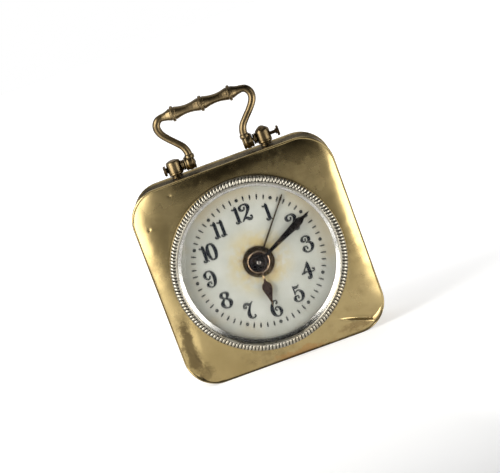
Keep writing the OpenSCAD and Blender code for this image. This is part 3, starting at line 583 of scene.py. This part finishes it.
def make_bezel():
    """Knurled bezel: slanted rope-like ridges round the outside, a smooth bright lip inside."""
    ridges, steps_per_ridge = 156, 10
    depth = 0.50 * MM
    slant = 0.45                        # how far a ridge turns from back to front, in ridges
    count = ridges * steps_per_ridge
    lip = glass_hi.x - 0.5 * MM
    # outline points are (radius, depth, share of the knurl's depth)
    lip_points = [(0.5, 1.0), (0.08, 0.95), (0, 0.7), (0.05, 0.35), (0.28, 0.12), (0.55, 0.1), (0.7, 0.2)]
    outline = [(lip + 0.5 * MM, RIM_Y, 0)]
    outline += [(lip + r * MM, BEZEL_FRONT + y * MM, 0) for r, y in lip_points]
    centre_r, centre_y, rad = BEZEL_R - 1.28 * MM, BEZEL_FRONT + 1.2 * MM, 1.2 * MM
    first, last = math.radians(-52), math.radians(90)
    for i in range(17):
        a = first + i * (last - first) / 16
        share = min(1, math.sin(math.pi * min(1, (i + 0.6) / 17)) * 2.2)
        outline.append((centre_r + rad * math.sin(a) * 1.05, centre_y - rad * math.cos(a) * 0.98, share))
    foot_points = [(0.12, 1.25), (0.5, 1.05), (0.3, 0.8), (0.05, 0.45), (0.1, 0.05), (0.5, 0), (1.2, 0)]
    outline += [(BEZEL_R - r * MM, CREST_Y - y * MM, 0) for r, y in foot_points]
    outline.append((BEZEL_R - 1.2 * MM, RIM_Y, 0))
    rows, hollows = [], []
    for k, (r, y, share) in enumerate(outline):
        turn = (k - 8) / 16 * slant if share else 0
        lean = math.atan2(y - centre_y, r - centre_r)
        row = []
        for i in range(count):
            a = TAU * i / count
            wave = abs(math.cos(math.pi * (ridges * a / TAU + turn)))
            hollow = share * (1 - wave ** 1.1)
            groove = depth * hollow * (0.85 + 0.35 * noise.noise(Vector((a * 22, 2.2, 0))))
            hollows.append(hollow)
            row.append(place_y(r - groove * math.cos(lean) * 0.7, a, y + groove * 0.6 * abs(math.sin(lean))))
        rows.append(row)
    bm = bmesh.new()
    add_grid(bm, rows)
    # the groove attribute keeps how deep each point sits in a groove; the nickel paints shade into the
    # grooves from it
    layer = bm.verts.layers.float.new("groove")
    for vert, hollow in zip(bm.verts, hollows):
        vert[layer] = hollow
    finish_mesh("bezel_knurled", bm, "clock_body", bezel_nickel, ["bezel"], sharp=0)


def make_glass():
    """Thick glass with a wide bevel and a slightly domed face."""
    back, front = glass_hi.y, glass_lo.y
    edge_r = glass_hi.x
    bevel_r = edge_r - 3.0 * MM
    dome = 0.5 * MM
    profile = [(0, back), (edge_r - 0.1 * MM, back), (edge_r, back - 0.1 * MM), (edge_r, back - 0.6 * MM),
               (edge_r - 0.4 * MM, back - 0.8 * MM), (bevel_r, front + dome)]
    for i in range(1, 13):
        r = bevel_r * (1 - i / 12)
        profile.append((r, front + dome * (r / bevel_r) ** 2))
    bm = bmesh.new()
    add_turned(bm, profile, AXIS, 192, 0.12 * MM)
    finish_mesh("crystal", bm, "clock_body", glass_clear, ["glass"], sharp=25)


def make_reflector_ring():
    """Bright sloping ring between the glass and the dial."""
    lo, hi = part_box("reflector_ring")
    r = hi.x
    back = hi.y - 0.02 * MM
    # (how far inside the edge, how far behind the front), in mm
    face = [(0, 0.1), (0.1, 0), (0.3, 0), (0.9, 0.33), (1.5, 0.66), (1.56, 0.8)]
    profile = [(r - inset * MM, lo.y + depth * MM) for inset, depth in face]
    profile += [(r - 1.4 * MM, back), (r, back), profile[0]]
    bm = bmesh.new()
    add_turned(bm, profile, AXIS, 192, 0.08 * MM)
    finish_mesh("inner_ring", bm, "clock_body", ring_silver, ["reflector_ring"])


def make_dial():
    """Dial disc with a soft edge and a sunk hole for the pipes."""
    hole = 1.8 * MM
    y0, y1 = dial_lo.y, dial_hi.y
    profile = [(hole, y1), (DIAL_R, y1), (DIAL_R, y0 + 0.2 * MM), (DIAL_R - 0.2 * MM, y0)]
    profile += [(hole + 0.3 * MM + (DIAL_R - 0.8 * MM - hole) * (1 - i / 8), y0) for i in range(1, 9)]
    profile += [(hole + 0.15 * MM, y0 + 0.02 * MM), (hole, y0 + 0.2 * MM), (hole, y1)]
    bm = bmesh.new()
    add_turned(bm, profile, AXIS, 160, 0.08 * MM)
    finish_mesh("dial_plate", bm, "clock_body", dial_white, ["dial"])


# Numbers are drawn in strokes. Each stroke is a list of (x, y, width) in units of the number's height,
# with y = 0 at the foot; each ball is (x, y, radius).
GLYPHS = {
    "1": ([[(0, .99, .05), (0, .9, .13), (0, .5, .135), (0, .12, .13), (-.02, .02, .08)],
           [(0, .97, .05), (-.05, .9, .05), (-.13, .86, .05), (-.2, .9, .05)],
           [(0, .04, .07), (-.08, -.01, .05), (-.16, .01, .04), (-.2, .08, .03)],
           [(.02, .18, .03), (.06, .08, .03), (.12, 0, .02)]],
          [(-.19, .9, .055), (-.17, .08, .06)]),
    "2": ([[(.02, .77, .04), (0, .69, .04), (-.1, .66, .06), (-.23, .72, .11), (-.25, .86, .12),
            (-.12, .97, .06), (.05, 1, .05), (.2, .93, .11), (.27, .8, .15), (.23, .64, .13),
            (.1, .44, .08), (-.1, .22, .05), (-.27, .02, .04)],
           [(-.27, .03, .04), (-.14, .15, .08), (-.02, .15, .11), (.12, .05, .14), (.24, .02, .1),
            (.33, .1, .05), (.32, .2, .03)]],
          [(.03, .79, .07), (.27, .21, .06)]),
    "3": ([[(0, .8, .04), (-.04, .71, .04), (-.15, .69, .06), (-.23, .79, .12), (-.15, .94, .07),
            (0, 1, .04), (.15, .94, .08), (.22, .8, .14), (.15, .65, .08), (0, .59, .03)],
           [(0, .6, .03), (.17, .57, .07), (.3, .38, .16), (.22, .13, .11), (.02, 0, .05), (-.18, .06, .07),
            (-.28, .22, .13), (-.19, .37, .06), (-.07, .36, .04), (-.04, .28, .04)]],
          [(0, .8, .065), (-.04, .25, .065)]),
    "4": ([[(.02, 1, .03), (.01, .8, .12), (0, .5, .15), (0, .2, .14), (-.01, .04, .1)],
           [(.01, .97, .05), (-.2, .66, .03), (-.36, .46, .04), (-.47, .38, .05)],
           [(-.48, .38, .03), (-.34, .42, .1), (-.15, .43, .06), (.06, .4, .04), (.2, .35, .04),
            (.31, .41, .04), (.33, .51, .04)],
           [(0, .05, .09), (-.08, -.01, .06), (-.17, 0, .04), (-.2, .06, .03)]],
          [(.25, .53, .065), (-.17, .08, .065)]),
    "5": ([[(-.18, 1, .03), (-.14, .94, .08), (-.02, .9, .11), (.08, .91, .08), (.2, 1, .02)],
           [(-.16, .97, .035), (-.165, .75, .03), (-.17, .52, .035)],
           [(-.17, .53, .03), (-.06, .65, .04), (.1, .68, .06), (.26, .52, .13), (.28, .28, .14),
            (.14, .06, .07), (-.04, 0, .04), (-.2, .07, .07), (-.26, .22, .13), (-.17, .36, .06),
            (-.04, .36, .04), (0, .29, .04)]],
          [(-.02, .25, .065)]),
    "6": ([[(.16, .8, .03), (.17, .92, .04), (.08, 1, .04), (-.06, .93, .07), (-.2, .7, .14),
            (-.25, .42, .18), (-.2, .17, .14), (-.06, .02, .06), (.07, 0, .04), (.21, .1, .09),
            (.27, .3, .15), (.2, .5, .09), (.06, .58, .04), (-.04, .52, .04), (-.04, .42, .04)]],
          [(.11, .8, .065), (.02, .38, .055)]),
    "7": ([[(-.15, .72, .03), (-.26, .76, .04), (-.27, .88, .05), (-.16, .97, .09), (-.02, .96, .11),
            (.08, .89, .09), (.18, .92, .04), (.32, 1, .02)],
           [(.28, .98, .02), (.13, .81, .05), (-.02, .56, .1), (-.1, .34, .16), (-.08, .15, .14),
            (.04, .03, .07), (.17, .02, .05), (.27, .1, .03)]],
          [(-.14, .79, .065), (.23, .15, .06)]),
    "8": ([[(0, 1, .04), (-.15, .93, .11), (-.21, .8, .15), (-.12, .67, .08), (0, .59, .03), (.16, .5, .09),
            (.27, .3, .18), (.17, .08, .1), (0, 0, .04), (-.17, .08, .1), (-.27, .3, .18), (-.16, .5, .09),
            (0, .59, .03), (.12, .67, .08), (.21, .8, .15), (.15, .93, .11), (0, 1, .04)]], []),
    "9": ([[(0, .64, .04), (-.04, .54, .04), (-.15, .52, .05), (-.26, .64, .1), (-.28, .8, .14),
            (-.17, .95, .07), (0, 1, .04), (.15, .92, .08), (.24, .7, .15), (.25, .44, .16),
            (.18, .16, .11), (.05, .02, .05), (-.1, 0, .04), (-.23, .09, .08), (-.27, .2, .11),
            (-.17, .32, .05), (-.05, .31, .04)]],
          [(.03, .66, .06), (-.04, .23, .065)]),
    "0": ([[(0, 1, .05), (-.17, .88, .11), (-.24, .5, .16), (-.17, .12, .11), (0, 0, .05), (.17, .12, .11),
            (.24, .5, .16), (.17, .88, .11), (0, 1, .05)]], []),
}
NUMBER_HEIGHT = 5.0 * MM
NUMBER_RADIUS = 15.7 * MM
PAIR_GAP = {"10": 0.46, "11": 0.42, "12": 0.52}
SPREAD, SPREAD_EDGE = 1.12, 0.058   # the print runs a little wider than the strokes above


def add_spot(bm, x, z, radius, y, sides=16):
    """Flat round spot facing the front; x and z are from the dial's centre."""
    turns = [TAU * i / sides for i in range(sides)]
    bm.faces.new([bm.verts.new(place_y(radius, a, y, (x, z))) for a in turns])


def add_ribbon(bm, points, y):
    """Flat stroke with round ends. points are (x, z, width)."""
    thinnest = 0.05 * MM
    curve = curve_points(points, 8)
    left, right = [], []
    for i, p in enumerate(curve):
        q = curve[min(i + 1, len(curve) - 1)] - curve[max(i - 1, 0)]
        d = Vector((q.x, q.y)).normalized()
        half = max(p.z, thinnest) / 2
        left.append(bm.verts.new((p.x - d.y * half, y, CENTRE.z + p.y + d.x * half)))
        right.append(bm.verts.new((p.x + d.y * half, y, CENTRE.z + p.y - d.x * half)))
    for i in range(len(curve) - 1):
        bm.faces.new((left[i], left[i + 1], right[i + 1], right[i]))
    for p in (curve[0], curve[-1]):
        add_spot(bm, p.x, p.y, max(p.z, thinnest) / 2, y - 0.001 * MM)


def make_numbers():
    """The twelve numbers, all upright, as thin raised print. Strokes that cross lie on different levels."""
    bm = bmesh.new()
    high = NUMBER_HEIGHT
    layer = 0
    for hour in range(1, 13):
        a = TAU * hour / 12
        middle = NUMBER_RADIUS * math.sin(a)
        foot = NUMBER_RADIUS * math.cos(a) - 0.5 * high
        text = str(hour)
        gap = PAIR_GAP.get(text, 0) * high
        for i, digit in enumerate(text):
            cx = middle + (i - (len(text) - 1) / 2) * gap
            strokes, balls = GLYPHS[digit]
            for stroke in strokes:
                layer += 1
                level = DIAL_Y - (0.020 + 0.003 * (layer % 4)) * MM
                line = [(cx + x * high, foot + y * high, (SPREAD * w + SPREAD_EDGE) * high)
                        for x, y, w in stroke]
                add_ribbon(bm, line, level)
            for x, y, r in balls:
                add_spot(bm, cx + x * high, foot + y * high, r * high, DIAL_Y - 0.034 * MM, 20)
    finish_mesh("dial_numbers", bm, "clock_body", print_ink, merge=1e-9)


def make_minute_track():
    """Minute strokes, a little uneven, and round dots at the hours."""
    bm = bmesh.new()
    track_r = 20.0 * MM
    half, length = 0.27 * MM, 0.80 * MM
    dot_r = 0.56 * MM
    level = DIAL_Y - 0.02 * MM
    for minute in range(60):
        a = TAU * minute / 60
        x, z = math.sin(a), math.cos(a)
        if minute % 5 == 0:
            add_spot(bm, track_r * x, track_r * z, dot_r, level)
            continue
        reach = length * (1 + 0.12 * random.uniform(-1, 1))
        left, right = [], []
        for r, w in ((track_r - reach, half * 0.55), (track_r, half), (track_r + reach, half * 0.8)):
            left.append(bm.verts.new((r * x - w * z, level, CENTRE.z + r * z + w * x)))
            right.append(bm.verts.new((r * x + w * z, level, CENTRE.z + r * z - w * x)))
        for i in range(2):
            bm.faces.new((left[i], left[i + 1], right[i + 1], right[i]))
    finish_mesh("minute_track", bm, "clock_body", print_ink, merge=1e-9)


# ---- hands

# Where the hands point, in degrees clockwise from twelve
MINUTE_AT = 64
HOUR_AT = 182
ALARM_AT = 38.7


def add_blade(bm, outline, degrees, back, front, ridge):
    """Hand along a dial angle. outline is [(distance, half width)] in mm; ridge lifts its middle line."""
    dx, dz = math.sin(math.radians(degrees)), math.cos(math.radians(degrees))
    edge = front + 0.06 * MM
    section = ((-1, back), (-1, edge), (-0.82, front), (0, front - ridge),
               (0.82, front), (1, edge), (1, back))
    rows = []
    for p in curve_points(in_mm(outline), 6):
        r, w = p.x, max(p.y, 0.02 * MM)
        rows.append([Vector((r * dx + s * w * dz, y, CENTRE.z + r * dz - s * w * dx)) for s, y in section])
    grid = add_grid(bm, rows)
    bm.faces.new(grid[0])
    bm.faces.new(grid[-1])


def add_disc(bm, back, front, lo, hi, segments, radius):
    """Turned disc of a hand: back is counted from its back plane hi, front from its front plane lo, in mm."""
    outline = in_mm(back, hi.y) + in_mm(front, lo.y)
    add_turned(bm, outline + outline[:1], AXIS, segments, radius * MM)


def make_minute_hand():
    """Long dark blade on a small stepped disc."""
    lo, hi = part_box("minute_hand")
    bm = bmesh.new()
    add_disc(bm, [(0.5, 0), (2.3, 0), (2.5, -0.15)],
             [(2.45, 0.22), (2.1, 0.06), (1.7, 0.12), (1.3, 0.05), (0.9, 0), (0.5, 0.03)], lo, hi, 64, 0.08)
    add_blade(bm, [(2.0, 0.55), (5.4, 0.6), (8, 0.7), (11.7, 0.88), (14, 1.05), (16.3, 1.25), (17.4, 1.22),
                   (18.3, 1.0), (19, 0.66), (19.7, 0.42), (20.8, 0.32), (22, 0.05)],
              MINUTE_AT, hi.y - 0.15 * MM, lo.y + 0.24 * MM, 0.12 * MM)
    finish_mesh("minute_hand_blade", bm, "minute_work", black_steel, ["minute_hand"], sharp=30)


def make_hour_hand():
    """Short brown leaf on a disc with a bright bead round it."""
    lo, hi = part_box("hour_hand")
    bm = bmesh.new()
    add_disc(bm, [(1.15, 0), (3.4, 0), (3.5, -0.1)], [(3.4, 0.12), (3.1, 0.02), (2.8, 0.14), (1.15, 0.16)],
             lo, hi, 72, 0.07)
    add_blade(bm, [(3.2, 0.46), (4.2, 0.36), (5.6, 0.36), (6.4, 0.5), (7.0, 1.1), (7.6, 1.48), (8.4, 1.62),
                   (9.4, 1.45), (10.4, 1.08), (11.4, 0.75), (13, 0.35), (14.8, 0.05)],
              HOUR_AT, hi.y - 0.1 * MM, lo.y + 0.16 * MM, 0.1 * MM)
    finish_mesh("hour_hand_blade", bm, "hour_work", brown_steel, ["hour_hand"], sharp=30)
    bead_r, bead = 3.3 * MM, 0.17 * MM
    bm = bmesh.new()
    add_turned(bm, [(bead_r + bead * math.cos(a), lo.y + 0.09 * MM + bead * math.sin(a))
                    for a in (TAU * i / 12 for i in range(13))], AXIS, 96, 0.0)
    finish_mesh("hour_hand_bead", bm, "hour_work", bead_gilt, sharp=60)


def make_alarm_hand():
    """Thin straight pointer on a wide disc behind the other hands."""
    lo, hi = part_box("alarm_hand")
    bm = bmesh.new()
    add_disc(bm, [(1.55, 0), (4.85, 0), (4.95, -0.06)],
             [(4.9, 0.12), (4.6, 0.05), (3.95, 0.05), (3.85, 0), (3.62, 0), (3.55, 0.1), (1.55, 0.14)],
             lo, hi, 96, 0.04)
    add_blade(bm, [(4.4, 0.32), (8, 0.28), (14, 0.24), (19, 0.24), (20.6, 0.34), (22, 0.12)],
              ALARM_AT, hi.y - 0.05 * MM, lo.y + 0.1 * MM, 0.05 * MM)
    finish_mesh("alarm_hand_pointer", bm, "alarm_pointer", brown_gilt, ["alarm_hand"],
                sharp=30)


def make_centre_pin():
    """Stepped arbor in the middle of the hands, with a round polished end."""
    lo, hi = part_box("centre_arbor")
    step = -4.7 * MM
    arbor_r, neck_r = 0.75 * MM, 0.5 * MM
    profile = [(0, hi.y), (arbor_r, hi.y), (arbor_r, step), (neck_r, step), (neck_r, lo.y + 0.5 * MM)]
    profile += in_mm([(0.72, 0.45), (0.7, 0.2), (0.4, 0.03), (0, 0)], lo.y)
    bm = bmesh.new()
    add_turned(bm, profile, AXIS, 48, 0.08 * MM)
    finish_mesh("centre_pin", bm, "minute_work", pin_steel, ["centre_arbor"], sharp=40)


# ---- handle

screws_lo, screws_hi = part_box("pivot_screws")
PIVOT_Z = screws_lo.z / 2 + screws_hi.z / 2
BAR_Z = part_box("handle_bail")[1].z - 2.5 * MM
TOP_Z = band_hi.z
ARM_R = 1.1 * MM
KNUCKLE_X = 9.5 * MM                # middle of each knuckle
ARM_X = 9.1 * MM                    # middle of each arm's foot
POST_X = 14.6 * MM


def add_tube(bm, path, radius, sides=24):
    """Round wire along (x, z) points; radius is a function of the share of the way along them."""
    turns = [TAU * k / sides for k in range(sides)]
    rows = []
    n = len(path) - 1
    for i, p in enumerate(path):
        t = (path[min(i + 1, n)] - path[max(i - 1, 0)]).normalized()
        r = radius(i / n)
        rows.append([Vector((p.x + r * math.cos(a) * t.y, r * math.sin(a), p.y - r * math.cos(a) * t.x))
                     for a in turns])
    grid = add_grid(bm, rows)
    bm.faces.new(grid[0])
    bm.faces.new(grid[-1])


def arm_radius(share):
    """Half thickness of the arm, gently swelling along it and widening where it meets the bar."""
    return ARM_R * (1.07 + 0.06 * math.cos(TAU * share * 1.5) + 0.10 * smoothstep(0.85, 1, share))


def make_bail():
    """Turned bar with three knots, and two bent arms that widen into it."""
    # half of the bar from its middle outwards: (distance, radius)
    half = [(0, 2.5), (0.28, 2.5), (0.46, 2.35), (0.55, 2.02), (0.72, 1.96), (0.85, 2.06), (1.1, 2.0),
            (1.7, 1.84), (2.6, 1.62), (3.8, 1.46), (4.9, 1.42), (6.0, 1.5), (7.0, 1.68), (7.8, 1.88),
            (8.35, 2.04), (8.55, 1.96), (8.72, 2.02), (8.8, 2.35), (8.97, 2.5), (9.5, 2.5), (9.68, 2.35),
            (9.76, 2.0), (9.95, 1.9), (10.15, 1.95), (10.6, 1.76), (11.4, 1.46), (12.3, 1.26), (13.0, 1.14)]
    bar = [(r, -x) for x, r in reversed(half)] + [(r, x) for x, r in half[1:]]
    bm = bmesh.new()
    add_turned(bm, in_mm(bar), axis_x(BAR_Z), 48, 0.05 * MM)
    # course of an arm from its foot into the bar: (distance from the middle, height above the case)
    rise = [(ARM_X / MM, 4.9), (9.15, 6.4), (9.8, 8.2), (11.3, 10.0), (13.2, 12.0), (14.7, 13.9),
            (15.4, 15.6), (15.3, 17.2), (14.3, 18.5), (12.8, 18.95), (11.6, 18.9)]
    for side in (-1, 1):
        path = curve_points([(side * x * MM, TOP_Z + z * MM) for x, z in rise], 7)
        add_tube(bm, path, arm_radius)
    finish_mesh("handle_bail_bar", bm, "handle", handle_brass, ["handle_bail"], sharp=50)


def make_knuckles():
    """Feet of the bail: a collar on each arm over a ribbed barrel that turns on the pivot screw."""
    half = [(2.2, 0.35), (2.08, 0.8), (1.98, 0.95), (2.2, 1.1), (2.15, 1.4), (1.9, 1.65), (0.6, 1.65)]
    barrel = [(r, -h) for r, h in reversed(half)] + half
    collar = [(0.4, 1.2), (1.55, 1.2), (1.62, 1.8), (1.55, 2.3), (1.3, 2.6), (0.4, 2.6)]
    bm = bmesh.new()
    for side in (-1, 1):
        add_turned(bm, in_mm(barrel + barrel[:1], side * KNUCKLE_X), axis_x(PIVOT_Z), 48, 0.06 * MM)
        add_turned(bm, in_mm(collar, PIVOT_Z), axis_z(side * ARM_X), 32, 0.05 * MM)
    finish_mesh("bail_knuckles", bm, "handle", handle_brass, ["handle_knuckles"], sharp=40)


def make_posts():
    """Turned posts: waisted foot on a collar, a plump body, and a domed or a pointed top."""
    foot = [(0, -2.5), (0.88, -2.5), (0.88, 0.02), (1.95, 0.02), (2.0, 0.3), (1.85, 0.5), (1.7, 0.6),
            (1.68, 0.8), (2.15, 0.95), (2.3, 1.2), (2.3, 1.5), (2.22, 1.65), (2.3, 1.8), (2.3, 3.6)]
    domed = [(2.3, 4.5), (2.26, 4.95), (2.0, 5.3), (1.4, 5.55), (0.7, 5.72), (0, 5.78)]
    pointed = [(2.3, 4.3), (2.25, 4.75), (2.05, 5.1), (1.6, 5.5), (1.1, 5.85), (0.7, 6.1), (0.3, 6.25),
               (0, 6.3)]
    for name, x, top in (("left", -POST_X, domed), ("right", POST_X, pointed)):
        bm = bmesh.new()
        add_turned(bm, in_mm(foot + top, TOP_Z), axis_z(x), 56, 0.06 * MM)
        finish_mesh(f"post_{name}", bm, "clock_body", handle_brass, [f"handle_post_{name}"],
                    sharp=50)


def add_slotted_head(bm, place, radius, slot, base, face):
    """Screw head with a real slot across it: two half-moons on a disc. place maps (u, v, h) to a point."""
    sides, arc_steps = 32, 14
    floor = base + (face - base) * 0.45
    turns = [TAU * i / sides for i in range(sides)]
    low = [bm.verts.new(place(radius * math.cos(a), radius * math.sin(a), base)) for a in turns]
    mid = [bm.verts.new(place(radius * math.cos(a), radius * math.sin(a), floor)) for a in turns]
    bm.faces.new(low)
    bm.faces.new(mid)
    for i in range(sides):
        k = (i + 1) % sides
        bm.faces.new((low[i], low[k], mid[k], mid[i]))
    edge = slot / 2
    reach = math.asin(min(0.99, edge / radius))
    chamfer = 0.12 * radius
    levels = ((radius, floor), (radius, face + (base - face) * 0.25), (radius - chamfer, face))
    for half in (0, 1):
        arc = [math.pi * half + reach + (math.pi - 2 * reach) * i / arc_steps for i in range(arc_steps + 1)]
        rows = []
        for r, h in levels:
            row = []
            for a in arc:
                u, v = r * math.cos(a), r * math.sin(a)
                v = min(v, -edge) if half else max(v, edge)
                row.append(bm.verts.new(place(u, v, h)))
            rows.append(row)
        for lower, upper in zip(rows, rows[1:]):
            for i in range(arc_steps):
                bm.faces.new((lower[i], lower[i + 1], upper[i + 1], upper[i]))
            bm.faces.new((lower[-1], lower[0], upper[0], upper[-1]))
        bm.faces.new(rows[-1])


def make_pivot_screws():
    """Screws through the posts: neck, and a flared slotted head. The right one has worked itself loose."""
    head_r, slot = 1.62 * MM, 0.45 * MM
    bm = bmesh.new()
    # side, inner end in mm, outer end, turn of the slot in degrees
    for side, tip, end, turn in ((-1, 7.7, -screws_lo.x, -20), (1, 9.3, screws_hi.x, 35)):
        shank = in_mm([(0, tip), (0.5, tip), (0.55, tip + 0.2)])
        neck = in_mm([(0.55, -1.3), (0.95, -1.2), (0.8, -0.75), (0.85, -0.62), (0, -0.62)], end)
        line = [(r, side * h) for r, h in shank + neck]
        add_turned(bm, line, axis_x(PIVOT_Z), 32, 0.05 * MM)
        tilt = math.radians(turn)

        def spot(u, v, h, side=side, tilt=tilt):
            """Point of the head, u and v across it and h along the screw."""
            y = u * math.cos(tilt) - v * math.sin(tilt)
            z = u * math.sin(tilt) + v * math.cos(tilt)
            return Vector((side * h, y, PIVOT_Z + z))
        add_slotted_head(bm, spot, head_r, slot, end - 0.8 * MM, end)
    finish_mesh("pivot_screw_pair", bm, "clock_body", screw_brown, ["pivot_screws"], sharp=35)


def make_washers():
    """Grooved spacers between the knuckles and the posts."""
    outline = [(0.56, 11.25), (1.55, 11.25), (1.7, 11.4), (1.66, 11.7), (1.3, 11.78), (1.66, 11.86),
               (1.7, 12.15), (1.55, 12.3), (0.56, 12.3), (0.56, 11.25)]
    bm = bmesh.new()
    for side in (-1, 1):
        add_turned(bm, in_mm(outline, 0, side), axis_x(PIVOT_Z), 40, 0.05 * MM)
    finish_mesh("pivot_spacers", bm, "clock_body", handle_brass, ["pivot_washers"], sharp=40)


# ---- stage, light and camera

FLOOR_SIZE = 12
TENT_R = 2.0


def add_stage_piece(name, bm, material):
    """Floor or backdrop piece from the mesh being built."""
    mesh = bpy.data.meshes.new(name)
    bm.to_mesh(mesh)
    bm.free()
    mesh.materials.append(material)
    obj = bpy.data.objects.new(name, mesh)
    bpy.context.scene.collection.objects.link(obj)
    return obj


def make_stage():
    """Pale floor that glows a little, less in front of the clock and more beside it, under a white world."""
    s = Shader("floor_white", {"Roughness": 0.8, "Emission Color": (1, 1, 1, 1)})
    s.colour(s.mix(s.noise(3, 2), (0.50, 0.50, 0.50), (0.54, 0.54, 0.54)))
    behind = s.ramp(s.distance((0, 3.75, 0)), 3.80, 3.62, 0.0, 0.58)
    far = s.ramp(s.distance((0, 0, 0)), 1.2, 1.9, 0.0, 0.58)
    off_the_patch = s.ramp(s.distance((0, -0.50, 0)), 0.24, 0.37, 0.0, 0.42)
    glow = s.math("ADD", off_the_patch, s.math("MAXIMUM", behind, far))
    for x in (-0.125, 0.125):
        glow = s.math("ADD", glow, s.ramp(s.distance((x, -0.095, 0)), 0.095, 0.035, 0.0, 1.1))
    s.link(glow, s.bsdf.inputs["Emission Strength"])
    bm = bmesh.new()
    bmesh.ops.create_grid(bm, x_segments=1, y_segments=1, size=FLOOR_SIZE / 2)
    add_stage_piece("floor", bm, s.material)

    world = bpy.data.worlds.new("studio")
    bpy.context.scene.world = world
    world.use_nodes = True
    world.node_tree.nodes["Background"].inputs["Color"].default_value = (1, 1, 1, 1)
    world.node_tree.nodes["Background"].inputs["Strength"].default_value = 1.0


# Soft panels of the light tent: direction, half angles of core and edge in degrees, strength
PANELS = [
    ((-0.82, -0.55, 0.10), 12, 26, 2.0),
    ((-0.70, -0.50, 0.50), 8, 22, 1.6),
    ((0.80, -0.58, 0.10), 12, 26, 2.2),
    ((0.76, -0.50, 0.40), 8, 18, 0.15),
    ((0.0, -0.98, -0.1), 10, 30, 0.20),
    ((0.0, 0.60, 0.75), 16, 34, 1.0),
    ((0.0, 0.0, 1.0), 8, 24, 0.8),
    ((-0.9, 0.6, 0.3), 14, 34, 1.0),
    ((0.9, 0.6, 0.3), 14, 34, 1.0),
]


def make_tent():
    """Large sphere with bright panels on a dim ground; the camera sees it only in reflections."""
    s = Shader("tent_light")
    unit = s.vector("NORMALIZE", s.coords)[0]
    total = 0.03                        # dim ground between the panels
    for direction, core, edge, strength in PANELS:
        dot = s.vector("DOT_PRODUCT", unit, Vector(direction).normalized())["Value"]
        low, high = math.cos(math.radians(edge)), math.cos(math.radians(core))
        total = s.math("ADD", s.ramp(dot, low, high, 0, strength), total)
    glow = s.add("ShaderNodeEmission")
    s.link(total, glow.inputs["Strength"])
    s.link(glow.outputs[0], s.tree.nodes["Material Output"].inputs["Surface"])
    s.tree.nodes.remove(s.bsdf)
    bm = bmesh.new()
    bmesh.ops.create_icosphere(bm, subdivisions=5, radius=TENT_R)
    add_stage_piece("light_tent", bm, s.material).visible_camera = False


def area_light(name, position, target, size, power, tone):
    """Rectangular light facing a target."""
    data = bpy.data.lights.new(name, "AREA")
    data.shape = "RECTANGLE"
    data.size, data.size_y = size
    data.energy = power
    data.color = tone
    obj = bpy.data.objects.new(name, data)
    obj.location = position
    obj.rotation_euler = (Vector(target) - Vector(position)).to_track_quat("-Z", "Y").to_euler()
    bpy.context.scene.collection.objects.link(obj)
    return obj


def make_lights():
    """Key light high on the left, and two small boxes near the front that the camera doesn't see."""
    area_light("key", (-0.62, -0.38, 0.70), CENTRE, (0.30, 0.30), 2.6, (1, 0.99, 0.96))
    for name, position, size, power in (("left_box", (-0.095, -0.078, 0.082), (0.085, 0.12), 0.18),
                                        ("right_box", (0.100, -0.070, 0.024), (0.080, 0.064), 0.11)):
        box = area_light(name, position, (0, -0.01, 0.045), size, power, (1, 0.98, 0.94))
        box.visible_camera = False


def make_camera():
    """Close to the dial's axis and a little above it, leaning so that the clock tips to the left."""
    lean = math.radians(20.4)
    above, right = math.radians(10), math.radians(2)
    distance = 0.475
    focus = Vector((0, DIAL_Y, CENTRE.z))
    level = math.cos(above)
    back = Vector((math.sin(right) * level, -math.cos(right) * level, math.sin(above)))
    up = (Vector((0, 0, 1)) - back * back.z).normalized()
    side = up.cross(back)
    cam_up = up * math.cos(lean) + side * math.sin(lean)
    cam_side = cam_up.cross(back)
    view_w = CASE_W / 0.424             # width of the view at the dial
    centre = focus - cam_side * (0.04104 * CASE_W) + cam_up * (0.11745 * CASE_W)
    data = bpy.data.cameras.new("camera")
    data.sensor_width = 36
    data.lens = data.sensor_width * distance / view_w
    data.clip_start, data.clip_end = 0.01, 20
    cam = bpy.data.objects.new("camera", data)
    cam.location = focus + back * distance
    aim = (cam.location - centre).normalized()
    cam_side = cam_up.cross(aim).normalized()
    cam_up = aim.cross(cam_side)
    cam.rotation_mode = "QUATERNION"
    cam.rotation_quaternion = Matrix((cam_side, cam_up, aim)).transposed().to_quaternion()
    bpy.context.scene.collection.objects.link(cam)
    bpy.context.scene.camera = cam


make_camera()
make_stage()
make_tent()
make_lights()
dress_cad_nodes()
make_front_shell()
make_case_band()
make_bezel()
make_glass()
make_reflector_ring()
make_dial()
make_numbers()
make_minute_track()
make_minute_hand()
make_hour_hand()
make_alarm_hand()
make_centre_pin()
make_bail()
make_knuckles()
make_posts()
make_pivot_screws()
make_washers()

bpy.context.scene.view_settings.view_transform = "Standard"
